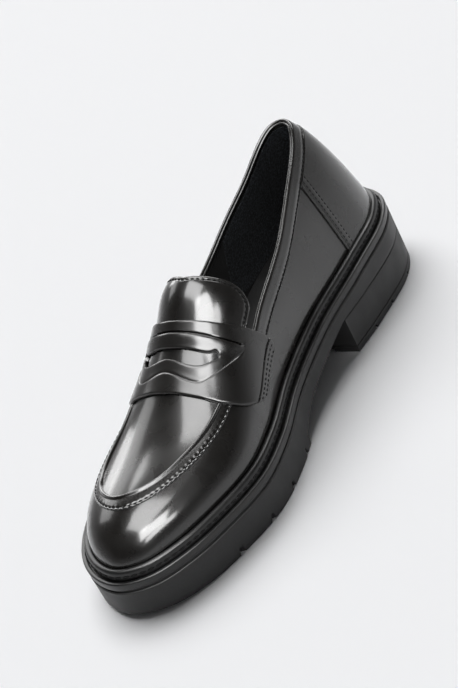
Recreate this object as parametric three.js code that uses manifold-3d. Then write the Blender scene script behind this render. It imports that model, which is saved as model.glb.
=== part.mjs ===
// A chunky lug-soled penny loafer for the right foot, in millimetres.
// +Z is up and the toe points to -Y, so +X is the wearer's left, the inner side of this foot.
import * as THREE from 'three';
import { mergeVertices } from 'three/addons/utils/BufferGeometryUtils.js';
import Module from 'manifold-3d';

const wasm = await Module();
wasm.setup();

// Overall sizes
const SOLE_LENGTH = 278;
const SOLE_WIDTH = 92;
const BACK_HEIGHT = 103; // floor to the collar's top at the heel
const RIM_HEIGHT = 60; // floor to the collar where it meets the strap
const INSTEP_HEIGHT = 92; // floor to the tongue's tip
const TOE_HEIGHT = 45; // floor to the front of the apron

// Sole
const FOREFOOT_LIP = 21.9; // floor to the lip's top at the forefoot
const HEEL_LIP = 37; // the same at the heel
const TOE_SPRING = 3.4;
const HEEL_LENGTH = 92;
const HEEL_HEIGHT = 21; // floor to the underside of the sole over the heel
const TOP_PIECE = 3.6; // the heel's own tread layer
const TREAD_START = 158; // from the heel's back to the forefoot tread, at the inner side
const TREAD_SLANT = 9; // how much further forward the tread starts at the outer side
const LUG_DEPTH = 4.5;
const LIP_BAND = 4.2; // thickness of the band under the lip
const GROOVE = 0.9; // depth and height of the groove under that band
const CHANNEL = 1.2; // depth of the stitching channel in the lip
const FLANGE = 2.2; // width of the lip outside the channel
const BEAD_HEIGHT = 4.5; // how far the welt stands above the lip
const BEAD_START = 2.8; // from the sole's edge to the welt
const WELT_REACH = 7; // from the sole's edge to the upper
const BEVEL = 0.7;

// Tread
const NOTCH = 2.2; // width of a lug's gap at the edge
const NOTCH_PITCH = 22.5;
const EDGE_BAND = 13; // width of the lug row along the edge
const TREAD_GAP = 3; // width of the grooves inside that row
const LUG_PITCH = 17;
const TOE_PLATE = 36; // length of the smooth plate at the toe
const HEEL_TREAD = 2.2; // depth of the grooves under the heel

// Upper and what lies on it
const UPPER_WALL = 2;
const INSOLE = 3.2;
const COUNTER = 1.2;
const COUNTER_LENGTH = 60;
const COLLAR_BAND = 1.1;
const COLLAR_DEPTH = 8;
const APRON_BAND = 1.1;
const STRAP = 1.9;
const SLIT = 0.9; // width of the cut behind the strap's opening
const THROAT = SOLE_LENGTH * 0.604; // from the heel's back to the joint of tongue and vamp
const BULGE = 2.2; // how far the upper swells beyond an elliptic section
const TOE_FAN = 82; // length over which the upper's ribs turn round the toe
const HEEL_FAN = 111; // the same round the heel
const FIT = 0.3; // clearance between pieces that touch

const STATIONS = 30; // ribs along one side
const CLIMB = [0, 5, 11, 18, 26, 35, 45, 55, 65, 75, 84]; // degrees up each rib

// Plan of the sole's edge, round from the heel's back along the inner side
const EDGE = [
    { along: 0.000, across: 0.00 }, { along: 0.030, across: 0.43 }, { along: 0.105, across: 0.68 }, { along: 0.240, across: 0.73 },
    { along: 0.390, across: 0.69 }, { along: 0.520, across: 0.75 }, { along: 0.640, across: 0.925 }, { along: 0.735, across: 0.985 },
    { along: 0.835, across: 0.86 }, { along: 0.915, across: 0.68 }, { along: 0.975, across: 0.42 }, { along: 1.000, across: 0.08 },
    { along: 0.987, across: -0.265 }, { along: 0.945, across: -0.59 }, { along: 0.865, across: -0.87 }, { along: 0.765, across: -1.00 },
    { along: 0.660, across: -0.95 }, { along: 0.540, across: -0.79 }, { along: 0.400, across: -0.695 }, { along: 0.250, across: -0.725 },
    { along: 0.105, across: -0.68 }, { along: 0.030, across: -0.43 },
];
// Lip height, from 0 at the forefoot's height to 1 at the heel's
const LIP = [
    { along: 0.00, rise: 1.00 }, { along: 0.10, rise: 1.00 }, { along: 0.20, rise: 0.94 }, { along: 0.29, rise: 0.81 }, { along: 0.38, rise: 0.62 },
    { along: 0.47, rise: 0.39 }, { along: 0.57, rise: 0.165 }, { along: 0.68, rise: 0.033 }, { along: 0.85, rise: -0.005 }, { along: 1.00, rise: 0.025 },
];
// Underside of the arch, from 0 at the lugs' roots to 1 at the heel's top
const ARCH = [
    { along: 0, rise: 1 }, { along: 0.24, rise: 0.79 }, { along: 0.64, rise: 0.49 }, { along: 0.80, rise: 0.30 }, { along: 1, rise: 0 },
];
// The upper's ridge, each height a share of the collar's, the instep's or the toe's
const RIDGE = [
    { along: 0.00, back: 1.088 }, { along: 0.072, back: 1.092 }, { along: 0.216, back: 1.068 }, { along: 0.342, back: 0.55, instep: 0.535 },
    { along: 0.432, instep: 1.033 }, { along: 0.486, instep: 1.01 }, { along: 0.529, instep: 1.00 }, { along: 0.597, instep: 0.842 },
    { along: 0.647, instep: 0.728 }, { along: 0.683, instep: 0.652 }, { along: 0.719, instep: 0.592 }, { along: 0.755, instep: 0.276, toe: 0.565 },
    { along: 0.795, toe: 1.073 }, { along: 0.874, toe: 1.00 }, { along: 0.906, toe: 0.962 }, { along: 0.942, toe: 0.896 }, { along: 0.971, toe: 0.822 },
];
// How each rib climbs: small values rise steeply from the welt, large ones lean in
const LEAN = [
    { along: 0.00, power: 1.13 }, { along: 0.108, power: 1.25 }, { along: 0.216, power: 1.36 }, { along: 0.306, power: 0.95 }, { along: 0.396, power: 0.62 },
    { along: 0.468, power: 0.56 }, { along: 0.647, power: 0.56 }, { along: 0.737, power: 0.46 }, { along: 0.845, power: 0.42 }, { along: 1.00, power: 0.42 },
];
// Where the ridge runs, to the inner side
const SPINE = [
    { along: 0.00, across: 0.00 }, { along: 0.216, across: 0.00 }, { along: 0.432, across: 0.00 }, { along: 0.647, across: 0.00 },
    { along: 0.791, across: 0.011 }, { along: 0.899, across: 0.043 }, { along: 1.00, across: 0.085 },
];
// Side view of the collar's edge, from 0 at its meeting with the strap to 1 at its top
const COLLAR = [
    { along: 0.076, rise: 1.00 }, { along: 0.112, rise: 0.985 }, { along: 0.162, rise: 0.84 }, { along: 0.216, rise: 0.665 }, { along: 0.288, rise: 0.475 },
    { along: 0.360, rise: 0.285 }, { along: 0.432, rise: 0.14 }, { along: 0.504, rise: 0.00 }, { along: 0.540, rise: -0.085 }, { along: 0.615, rise: -0.27 },
];
// Side views of the strap and the tongue, heights as shares of the instep's
const STRAP_FRONT = [
    { along: 0.695, up: 0.80 }, { along: 0.687, up: 0.652 }, { along: 0.685, up: 0.61 }, { along: 0.670, up: 0.517 }, { along: 0.649, up: 0.457 },
];
const STRAP_END = [
    { along: 0.628, up: 0.422 }, { along: 0.612, up: 0.414 }, { along: 0.560, up: 0.442 }, { along: 0.520, up: 0.474 }, { along: 0.508, up: 0.497 },
];
const STRAP_BACK = [
    { along: 0.506, up: 0.545 }, { along: 0.513, up: 0.592 }, { along: 0.540, up: 0.697 }, { along: 0.564, up: 0.777 }, { along: 0.582, up: 0.864 },
    { along: 0.588, up: 1.00 },
];
const OPENING = [ // the hole in the strap, from its corner over the ridge and back
    { along: 0.606, up: 0.705 }, { along: 0.618, up: 0.728 }, { along: 0.622, up: 0.785 }, { along: 0.622, up: 0.86 }, { along: 0.637, up: 0.86 },
    { along: 0.638, up: 0.745 }, { along: 0.641, up: 0.70 }, { along: 0.619, up: 0.694 },
];
const SLIT_LINE = [
    { along: 0.571, up: 0.645 }, { along: 0.588, up: 0.74 }, { along: 0.597, up: 0.799 }, { along: 0.600, up: 0.90 },
];
const TONGUE = [ // from the throat back along its edge, round the corner and over the ridge
    { along: 0.612, up: 0.585 }, { along: 0.540, up: 0.71 }, { along: 0.514, up: 0.745 }, { along: 0.5, up: 0.775 }, { along: 0.494, up: 0.82 },
    { along: 0.495, up: 0.90 }, { along: 0.506, up: 0.98 }, { along: 0.512, up: 1.1 },
];
// Plan of the apron's two seams, round from the inner side
const APRON_INNER = [
    { along: 0.660, across: 0.56 }, { along: 0.737, across: 0.50 }, { along: 0.788, across: 0.405 }, { along: 0.842, across: 0.25 },
    { along: 0.869, across: 0.075 }, { along: 0.878, across: -0.09 }, { along: 0.872, across: -0.24 }, { along: 0.857, across: -0.38 },
    { along: 0.831, across: -0.485 }, { along: 0.781, across: -0.555 }, { along: 0.730, across: -0.56 }, { along: 0.660, across: -0.56 },
];
const APRON_OUTER = [
    { along: 0.660, across: 0.65 }, { along: 0.724, across: 0.64 }, { along: 0.774, across: 0.575 }, { along: 0.832, across: 0.445 },
    { along: 0.878, across: 0.28 }, { along: 0.903, across: 0.055 }, { along: 0.900, across: -0.19 }, { along: 0.875, across: -0.44 },
    { along: 0.849, across: -0.57 }, { along: 0.799, across: -0.675 }, { along: 0.737, across: -0.70 }, { along: 0.660, across: -0.68 },
];

// A natural cubic through a table's rows
function curveThrough(rows, value) {
    const x = rows.map((row) => row.along);
    const y = rows.map(value);
    const n = x.length;
    const bend = new Array(n).fill(0);
    const upper = new Array(n).fill(0);
    for (let i = 1; i < n - 1; i++) {
        const left = x[i] - x[i - 1];
        const right = x[i + 1] - x[i];
        const target = 6 * ((y[i + 1] - y[i]) / right - (y[i] - y[i - 1]) / left);
        const pivot = 2 * (left + right) - left * upper[i - 1];
        upper[i] = right / pivot;
        bend[i] = (target - left * bend[i - 1]) / pivot;
    }
    for (let i = n - 2; i > 0; i--) bend[i] -= upper[i] * bend[i + 1];
    return (at) => {
        const u = THREE.MathUtils.clamp(at, x[0], x[n - 1]);
        let i = 0;
        while (i < n - 2 && u > x[i + 1]) i++;
        const h = x[i + 1] - x[i];
        const a = (x[i + 1] - u) / h;
        const b = 1 - a;
        return a * y[i] + b * y[i + 1] + ((a ** 3 - a) * bend[i] + (b ** 3 - b) * bend[i + 1]) * h * h / 6;
    };
}

function straightThrough(rows, value, at) {
    const u = THREE.MathUtils.clamp(at, rows[0].along, rows[rows.length - 1].along);
    let i = 0;
    while (i < rows.length - 2 && u > rows[i + 1].along) i++;
    const share = (u - rows[i].along) / (rows[i + 1].along - rows[i].along);
    return THREE.MathUtils.lerp(value(rows[i]), value(rows[i + 1]), share);
}

// The sole's edge as a closed curve, stretched to fill the named length and width
const edgeCurve = new THREE.CatmullRomCurve3(
    EDGE.map((row) => new THREE.Vector3(row.across * SOLE_WIDTH / 2, row.along * SOLE_LENGTH, 0)), true, 'centripetal');
const edgeBox = new THREE.Box3().setFromPoints(edgeCurve.getPoints(2000));
const edgeSize = edgeBox.getSize(new THREE.Vector3());
function edgeAt(t) {
    const point = edgeCurve.getPoint(t);
    return {
        x: ((point.x - edgeBox.min.x) / edgeSize.x - 0.5) * SOLE_WIDTH,
        s: (point.y - edgeBox.min.y) / edgeSize.y * SOLE_LENGTH,
    };
}
function edgeNormal(t) {
    const step = 1e-4;
    const a = edgeAt((t - step + 1) % 1);
    const b = edgeAt((t + step) % 1);
    const length = Math.hypot(b.x - a.x, b.s - a.s);
    return { x: (b.s - a.s) / length, s: -(b.x - a.x) / length };
}
function insetEdge(t, inset) {
    const edge = edgeAt(t);
    const normal = edgeNormal(t);
    return { x: edge.x - normal.x * inset, s: edge.s - normal.s * inset };
}

// Places round the edge, in pairs that face each other across the shoe
const samples = Array.from({ length: 2001 }, (_, i) => i / 2000);
const toePlace = samples.reduce((best, t) => (edgeAt(t).s > edgeAt(best).s ? t : best), 0.5);
const heelPlace = samples.reduce((best, t) => (edgeAt(t).s < edgeAt(best).s ? t : best), 0);
const heelTurn = heelPlace > 0.5 ? heelPlace - 1 : heelPlace;
function placeAt(s, low, high) {
    for (let i = 0; i < 40; i++) {
        const middle = (low + high) / 2;
        if (edgeAt((middle + 1) % 1).s < s) low = middle;
        else high = middle;
    }
    return (low + 1) % 1;
}
const innerPlace = (s) => placeAt(s, heelTurn, toePlace);
const outerPlace = (s) => placeAt(s, 1 + heelTurn, toePlace);
// The heel's front and the tread's start have places of their own
const turns = Array.from({ length: STATIONS + 1 }, (_, i) => heelTurn + (toePlace - heelTurn) * i / STATIONS);
turns.push(innerPlace(HEEL_LENGTH + FIT), innerPlace(TREAD_START));
const innerPlaces = turns.sort((a, b) => a - b).map((t) => (t + 1) % 1);
const outerPlaces = innerPlaces.slice(1, -1).map((t) => outerPlace(edgeAt(t).s)).reverse();
const PLACES = [...innerPlaces, ...outerPlaces];

// Heights along the shoe
const lipRise = curveThrough(LIP, (row) => row.rise);
const lip = (s) => THREE.MathUtils.lerp(FOREFOOT_LIP, HEEL_LIP, lipRise(s / SOLE_LENGTH));
const spring = (s) => TOE_SPRING * THREE.MathUtils.clamp((s / SOLE_LENGTH - 0.84) / 0.16, 0, 1) ** 2;
const channelFloor = (s) => lip(s) - CHANNEL;
const seat = (s) => channelFloor(s) + FIT;
const bandFoot = (s) => lip(s) - LIP_BAND;
const slabTop = (s) => bandFoot(s) - FIT;
function underside(s) {
    const share = (s - HEEL_LENGTH - FIT) / (TREAD_START - HEEL_LENGTH - FIT);
    return THREE.MathUtils.lerp(LUG_DEPTH, HEEL_HEIGHT, straightThrough(ARCH, (row) => row.rise, share)) + spring(s);
}
const ridgeHeight = curveThrough(RIDGE, (row) => (row.back ?? 0) * BACK_HEIGHT + (row.instep ?? 0) * INSTEP_HEIGHT + (row.toe ?? 0) * TOE_HEIGHT);
const ridge = (s) => ridgeHeight(s / SOLE_LENGTH);
const leanPower = curveThrough(LEAN, (row) => row.power);
const spineShare = curveThrough(SPINE, (row) => row.across);
const spine = (s) => spineShare(s / SOLE_LENGTH) * SOLE_WIDTH / 2;
const collarRise = (row) => THREE.MathUtils.lerp(RIM_HEIGHT, BACK_HEIGHT, row.rise);

function at(x, s, z) {
    return new THREE.Vector3(x, SOLE_LENGTH / 2 - s, z);
}

// Where a rib that starts at station s ends on the ridge: ribs turn to fan round the toe and the heel
function ribEnd(s) {
    const front = SOLE_LENGTH - WELT_REACH;
    const back = WELT_REACH;
    const toe = THREE.MathUtils.clamp((s - front + TOE_FAN) / TOE_FAN, 0, 1);
    const heel = THREE.MathUtils.clamp((back + HEEL_FAN - s) / HEEL_FAN, 0, 1);
    if (toe > 0) return front - TOE_FAN + TOE_FAN * (toe - toe ** 3 / 3);
    if (heel > 0) return back + HEEL_FAN - HEEL_FAN * (heel - heel ** 3 / 3);
    return s;
}

// The upper's outer face: climb runs from 0 at the welt to a right angle on the ridge
function upperPoint(t, climb) {
    const foot = insetEdge(t, WELT_REACH);
    const normal = edgeNormal(t);
    const end = ribEnd(foot.s);
    const reach = Math.cos(climb);
    const swell = BULGE * Math.sin(2 * climb);
    const s = end + (foot.s - end) * reach;
    const x = spine(s) + (foot.x - spine(foot.s)) * reach;
    const rise = Math.sin(climb) ** (2 * leanPower(s / SOLE_LENGTH));
    return at(x + normal.x * swell, s + normal.s * swell, THREE.MathUtils.lerp(lip(s), ridge(s), rise));
}
function upperOffset(t, climb, distance) {
    const step = 1e-3;
    const turn = upperPoint((t + step) % 1, climb).sub(upperPoint((t - step + 1) % 1, climb));
    const rise = upperPoint(t, climb + step).sub(upperPoint(t, Math.max(climb - step, 0)));
    const normal = rise.cross(turn).normalize();
    return upperPoint(t, climb).addScaledVector(normal, distance);
}

// Solids
function toSolid(geometry) {
    const bare = geometry.clone();
    bare.deleteAttribute('normal');
    bare.deleteAttribute('uv');
    const merged = mergeVertices(bare, 1e-5);
    const points = merged.attributes.position;
    const faces = Uint32Array.from(merged.index.array);
    const a = new THREE.Vector3();
    const b = new THREE.Vector3();
    const c = new THREE.Vector3();
    let volume = 0;
    for (let i = 0; i < faces.length; i += 3) {
        a.fromBufferAttribute(points, faces[i]);
        b.fromBufferAttribute(points, faces[i + 1]);
        c.fromBufferAttribute(points, faces[i + 2]);
        volume += a.dot(b.cross(c));
    }
    if (volume < 0) faces.reverse();
    return new wasm.Manifold(new wasm.Mesh({ numProp: 3, vertProperties: Float32Array.from(points.array), triVerts: faces }));
}
function fromFaces(points, faces) {
    const geometry = new THREE.BufferGeometry().setFromPoints(points);
    geometry.setIndex(faces);
    return toSolid(geometry);
}

// A body through equal loops of points; an open one is closed by strips that run straight across the shoe
function throughLoops(loops, ring = false) {
    const n = PLACES.length;
    const faces = [];
    const quad = (a, b, c, d) => faces.push(a, b, c, a, c, d);
    const last = ring ? loops.length : loops.length - 1;
    for (let k = 0; k < last; k++) {
        const lower = k * n;
        const upper = ((k + 1) % loops.length) * n;
        for (let i = 0; i < n; i++) quad(lower + i, lower + (i + 1) % n, upper + (i + 1) % n, upper + i);
    }
    if (!ring) {
        const strip = (start, flip) => {
            for (let i = 0; i < innerPlaces.length - 1; i++) {
                const across = [start + i, start + i + 1, start + (n - i - 1), start + (n - i) % n];
                const [a, b, c, d] = flip ? across.reverse() : across;
                quad(a, b, c, d);
            }
        };
        strip(0, true);
        strip((loops.length - 1) * n, false);
    }
    const kept = [];
    for (let i = 0; i < faces.length; i += 3) {
        const [a, b, c] = faces.slice(i, i + 3);
        if (a !== b && b !== c && a !== c) kept.push(a, b, c);
    }
    return fromFaces(loops.flat(), kept);
}
function soleLoop(inset, height) {
    return PLACES.map((t) => {
        const { x, s } = insetEdge(t, inset);
        return at(x, s, height(s));
    });
}
function upperBody(distance, below = 0) {
    const foot = PLACES.map((t) => {
        const point = upperOffset(t, 0, distance);
        return point.setZ(seat(SOLE_LENGTH / 2 - point.y) - below);
    });
    const climbs = CLIMB.map((degrees) => PLACES.map((t) => upperOffset(t, THREE.MathUtils.degToRad(degrees), distance)));
    return throughLoops([foot, ...climbs]);
}

// Prisms that cut: one right through from side to side, one straight up
const WIDE = SOLE_WIDTH * 2;
const TALL = BACK_HEIGHT * 2;
function outlineShape(points) {
    return new THREE.Shape(points.map(([u, v]) => new THREE.Vector2(u, v)));
}
function sidePrism(points) {
    const geometry = new THREE.ExtrudeGeometry(outlineShape(points), { depth: WIDE, bevelEnabled: false });
    const place = geometry.attributes.position;
    for (let i = 0; i < place.count; i++) {
        const point = at(place.getZ(i) - WIDE / 2, place.getX(i), place.getY(i));
        place.setXYZ(i, point.x, point.y, point.z);
    }
    return toSolid(geometry);
}
function planPrism(points, low, high) {
    const geometry = new THREE.ExtrudeGeometry(outlineShape(points), { depth: high - low, bevelEnabled: false });
    const place = geometry.attributes.position;
    for (let i = 0; i < place.count; i++) {
        const point = at(place.getX(i), place.getY(i), low + place.getZ(i));
        place.setXYZ(i, point.x, point.y, point.z);
    }
    return toSolid(geometry);
}
function smooth(points, count) {
    return new THREE.SplineCurve(points.map(([u, v]) => new THREE.Vector2(u, v))).getPoints(count).map((point) => [point.x, point.y]);
}
const sideView = (rows, size = INSTEP_HEIGHT) => rows.map((row) => [row.along * SOLE_LENGTH, row.up * size]);
const planView = (rows) => rows.map((row) => [row.across * SOLE_WIDTH / 2, row.along * SOLE_LENGTH]);

// Sole
const heelPlan = [[-WIDE, -WIDE], [WIDE, -WIDE], [WIDE, HEEL_LENGTH], [-WIDE, HEEL_LENGTH]];
const slant = TREAD_SLANT / SOLE_WIDTH;
const treadPlan = [
    [-WIDE, TREAD_START + (WIDE + SOLE_WIDTH / 2) * slant], [WIDE, TREAD_START - (WIDE - SOLE_WIDTH / 2) * slant],
    [WIDE, SOLE_LENGTH * 2], [-WIDE, SOLE_LENGTH * 2],
];
function grooveAcross(x, s, angle, length, width, depth, floor) {
    const box = new THREE.BoxGeometry(length, width, depth * 2);
    box.rotateZ(angle);
    const centre = at(x, s, floor);
    box.translate(centre.x, centre.y, centre.z);
    return toSolid(box);
}
const slab = throughLoops([
    soleLoop(0, underside),
    soleLoop(0, (s) => slabTop(s) - GROOVE - BEVEL),
    soleLoop(GROOVE, (s) => slabTop(s) - GROOVE),
    soleLoop(GROOVE, slabTop),
]);
let lugs = throughLoops([
    soleLoop(0, spring),
    soleLoop(0, (s) => LUG_DEPTH + spring(s) + BEVEL),
]).intersect(planPrism(treadPlan, -TALL, TALL));
// The gap that parts the row of edge lugs from the middle
const inside = (inset) => throughLoops([
    soleLoop(inset, (s) => spring(s) - LUG_DEPTH),
    soleLoop(inset, (s) => LUG_DEPTH + spring(s)),
]);
const toePlate = SOLE_LENGTH - TOE_PLATE;
const treadField = planPrism([[-WIDE, 0], [WIDE, 0], [WIDE, toePlate], [-WIDE, toePlate]], -TALL, TALL);
const middle = inside(EDGE_BAND).intersect(treadField);
const edgeGap = middle.subtract(inside(EDGE_BAND + TREAD_GAP).intersect(treadField));
lugs = lugs.subtract(edgeGap);
// Notches through the edge lugs, each slanting back as it runs inward
function notches(side) {
    let cuts = null;
    for (let s = TREAD_START + NOTCH_PITCH * 0.6; s < SOLE_LENGTH - TOE_PLATE * 0.6; s += NOTCH_PITCH) {
        const edge = edgeAt(side > 0 ? innerPlace(s) : outerPlace(s));
        const cut = grooveAcross(edge.x - side * EDGE_BAND * 0.4, edge.s - EDGE_BAND * 0.2, side * 0.45, EDGE_BAND * 1.5, NOTCH, LUG_DEPTH * 0.8, spring(edge.s));
        cuts = cuts ? cuts.add(cut) : cut;
    }
    return cuts;
}
lugs = lugs.subtract(notches(1)).subtract(notches(-1));
// Crossing grooves break the middle into blocks
let crossing = null;
for (let s = TREAD_START - LUG_PITCH; s < SOLE_LENGTH; s += LUG_PITCH) {
    for (const side of [-1, 1]) {
        const cut = grooveAcross(0, s, side * 0.7, SOLE_WIDTH * 1.4, TREAD_GAP, LUG_DEPTH * 0.8, 0);
        crossing = crossing ? crossing.add(cut) : cut;
    }
}
lugs = lugs.subtract(crossing.intersect(middle));
const outsole = slab.add(lugs);

const heelBody = (low, high, bevel) => throughLoops([
    soleLoop(bevel, () => low),
    soleLoop(0, () => low + bevel),
    soleLoop(0, () => high - bevel),
    soleLoop(bevel, () => high),
]).intersect(planPrism(heelPlan, -TALL, TALL));
const heelBlock = throughLoops([
    soleLoop(0, () => TOP_PIECE + FIT),
    soleLoop(0, () => HEEL_HEIGHT - FIT),
]).intersect(planPrism(heelPlan, -TALL, TALL));
let topPiece = heelBody(0, TOP_PIECE, BEVEL);
const heelEdge = SOLE_WIDTH * 0.36;
// One long groove with cuts to the inner side, slanted grooves to the outer side and a row of round pits between
const longGroove = heelEdge / 2;
topPiece = topPiece.subtract(grooveAcross(longGroove, HEEL_LENGTH / 2, Math.PI / 2, HEEL_LENGTH * 2, TREAD_GAP, HEEL_TREAD, 0));
for (const share of [0.22, 0.41, 0.62]) {
    const s = HEEL_LENGTH * (1 - share);
    topPiece = topPiece.subtract(grooveAcross(longGroove + heelEdge / 2, s, 0, heelEdge, TREAD_GAP, HEEL_TREAD, 0));
    topPiece = topPiece.subtract(grooveAcross(-heelEdge * 0.78, s, -0.45, heelEdge * 0.8, TREAD_GAP, HEEL_TREAD, 0));
    const pit = new THREE.CylinderGeometry(LUG_PITCH / 4, LUG_PITCH / 4, HEEL_TREAD * 2, 12);
    pit.rotateX(Math.PI / 2);
    const centre = at(-heelEdge * 0.06, s, 0);
    pit.translate(centre.x, centre.y, centre.z);
    topPiece = topPiece.subtract(toSolid(pit));
}

const midsole = throughLoops([
    soleLoop(BEVEL, bandFoot),
    soleLoop(0, (s) => bandFoot(s) + BEVEL),
    soleLoop(0, (s) => lip(s) - BEVEL),
    soleLoop(BEVEL, lip),
    soleLoop(FLANGE - FIT, lip),
    soleLoop(FLANGE, channelFloor),
]);
const beadEnd = WELT_REACH - FIT * 3;
const welt = throughLoops([
    soleLoop(BEAD_START, seat),
    soleLoop(BEAD_START, (s) => lip(s) + BEAD_HEIGHT - BEVEL * 2),
    soleLoop(BEAD_START + BEVEL, (s) => lip(s) + BEAD_HEIGHT - BEVEL / 3),
    soleLoop((BEAD_START + beadEnd) / 2, (s) => lip(s) + BEAD_HEIGHT),
    soleLoop(beadEnd, (s) => lip(s) + BEAD_HEIGHT - BEVEL),
    soleLoop(beadEnd, seat),
], true);
const insoleEdge = WELT_REACH + UPPER_WALL + FIT * 2;
const insole = throughLoops([
    soleLoop(insoleEdge, seat),
    soleLoop(insoleEdge, (s) => seat(s) + INSOLE - BEVEL),
    soleLoop(insoleEdge + BEVEL, (s) => seat(s) + INSOLE),
]);

// Upper
const collarEdge = COLLAR.map((row) => [row.along * SOLE_LENGTH, collarRise(row)]);
const collarLine = smooth(collarEdge, 20);
const behind = -SOLE_LENGTH / 4;
function collarHeight(s) {
    const next = collarLine.findIndex((point) => point[0] > s);
    const [before, after] = [collarLine[next - 1], collarLine[next]];
    return THREE.MathUtils.mapLinear(s, before[0], after[0], before[1], after[1]);
}
const mouth = sidePrism([
    [behind, BACK_HEIGHT], ...collarLine.filter(([s]) => s < THROAT), [THROAT, collarHeight(THROAT)], [THROAT, TALL], [behind, TALL],
]);
const outer = upperBody(0);
const inner = upperBody(-UPPER_WALL, INSOLE);
const shell = outer.subtract(inner);
const upper = shell.subtract(mouth);

const tongueEdge = smooth(sideView(TONGUE), 22).filter(([s]) => s < THROAT - FIT);
const tongue = shell.intersect(sidePrism([[THROAT - FIT, tongueEdge[0][1]], ...tongueEdge, [THROAT - FIT, TALL]]));

// Overlays: layers over the upper, cut to their outlines
function layer(thickness) {
    return upperBody(FIT + thickness).subtract(upperBody(FIT));
}
const strapFront = smooth(sideView(STRAP_FRONT), 8);
const strapEnd = smooth(sideView(STRAP_END), 8);
const strapBack = smooth(sideView(STRAP_BACK), 12);
const slitLine = smooth(sideView(SLIT_LINE), 8);
const slitCut = sidePrism([...slitLine, ...slitLine.map(([s, z]) => [s + SLIT, z]).reverse()]);
const strap = layer(STRAP)
    .intersect(sidePrism([...strapFront, ...strapEnd, ...strapBack, [strapBack[strapBack.length - 1][0], TALL], [strapFront[0][0], TALL]]))
    .subtract(sidePrism(smooth(sideView([...OPENING, OPENING[0]]), 24).slice(0, -1)))
    .subtract(slitCut);

const lowered = collarLine.map(([s, z]) => [s, z - COLLAR_DEPTH]);
const strapShadow = sidePrism([
    ...strapFront.map(([s, z]) => [s + FIT, z]), ...strapEnd.map(([s, z]) => [s, z - FIT]), ...strapBack.map(([s, z]) => [s - FIT, z]),
    [strapBack[strapBack.length - 1][0] - FIT, TALL], [strapFront[0][0] + FIT, TALL],
]);
const collarBand = layer(COLLAR_BAND)
    .intersect(sidePrism([[behind, BACK_HEIGHT], ...collarLine, ...lowered.reverse(), [behind, BACK_HEIGHT - COLLAR_DEPTH]]))
    .subtract(strapShadow)
    .subtract(sidePrism([[THROAT * 0.84, 0], [SOLE_LENGTH, 0], [SOLE_LENGTH, TALL], [THROAT * 0.84, TALL]]));
const counterTop = [...collarLine.filter(([s]) => s < COUNTER_LENGTH), [COUNTER_LENGTH, collarHeight(COUNTER_LENGTH)]]
    .map(([s, z]) => [s, z - COLLAR_DEPTH - FIT]);
const counterFoot = (s) => lip(s) + BEAD_HEIGHT + FIT;
const counter = layer(COUNTER).intersect(sidePrism([
    [behind, counterFoot(0)], [0, counterFoot(0)], [COUNTER_LENGTH, counterFoot(COUNTER_LENGTH)],
    ...counterTop.reverse(), [behind, BACK_HEIGHT - COLLAR_DEPTH - FIT],
]));
const apronBand = layer(APRON_BAND)
    .intersect(planPrism([...smooth(planView(APRON_OUTER), 34), ...smooth(planView(APRON_INNER), 34).reverse()], FOREFOOT_LIP, TALL))
    .subtract(strapShadow);

// Meshes
const rubber = { color: 0x2b2a2a, roughness: 0.6, metalness: 0 };
const leather = { color: 0x18181a, roughness: 0.25, metalness: 0 };
const lining = { color: 0x2a2a2c, roughness: 0.8, metalness: 0 };
function toMesh(name, solid, look) {
    const { vertProperties, triVerts } = solid.getMesh();
    const geometry = new THREE.BufferGeometry();
    geometry.setAttribute('position', new THREE.BufferAttribute(vertProperties, 3));
    geometry.setIndex(new THREE.BufferAttribute(triVerts, 1));
    geometry.computeVertexNormals();
    const mesh = new THREE.Mesh(geometry, new THREE.MeshStandardMaterial(look));
    mesh.name = name;
    return mesh;
}

const loafer = new THREE.Group();
loafer.add(
    toMesh('outsole', outsole, rubber),
    toMesh('heel_block', heelBlock, rubber),
    toMesh('heel_top_piece', topPiece, rubber),
    toMesh('midsole', midsole, rubber),
    toMesh('welt', welt, rubber),
    toMesh('insole', insole, lining),
    toMesh('upper', upper, leather),
    toMesh('counter', counter, leather),
    toMesh('collar_band', collarBand, leather),
    toMesh('apron_band', apronBand, leather),
    toMesh('tongue', tongue, leather),
    toMesh('strap', strap, leather),
);
export default loafer;
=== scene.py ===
import math

import bmesh
import bpy
import numpy as np
from mathutils import Matrix, Vector
from mathutils.bvhtree import BVHTree


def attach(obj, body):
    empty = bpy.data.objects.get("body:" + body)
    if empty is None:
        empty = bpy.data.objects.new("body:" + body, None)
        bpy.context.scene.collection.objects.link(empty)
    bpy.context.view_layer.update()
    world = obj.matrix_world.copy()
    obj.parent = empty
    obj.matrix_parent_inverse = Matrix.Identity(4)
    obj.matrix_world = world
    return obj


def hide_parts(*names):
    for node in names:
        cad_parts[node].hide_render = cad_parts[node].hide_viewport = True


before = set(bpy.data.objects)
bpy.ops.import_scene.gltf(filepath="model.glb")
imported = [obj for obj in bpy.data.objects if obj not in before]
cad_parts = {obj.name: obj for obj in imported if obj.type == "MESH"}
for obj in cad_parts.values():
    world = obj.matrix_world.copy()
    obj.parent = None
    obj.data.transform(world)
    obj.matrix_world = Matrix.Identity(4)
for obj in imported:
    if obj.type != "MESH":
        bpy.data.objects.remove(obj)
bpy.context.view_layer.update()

# A black lug-soled penny loafer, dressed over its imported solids. Lengths are in millimetres, and angles
# along the last in degrees or radians, until new_object makes them a mesh in metres.
MM = 0.001

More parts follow.
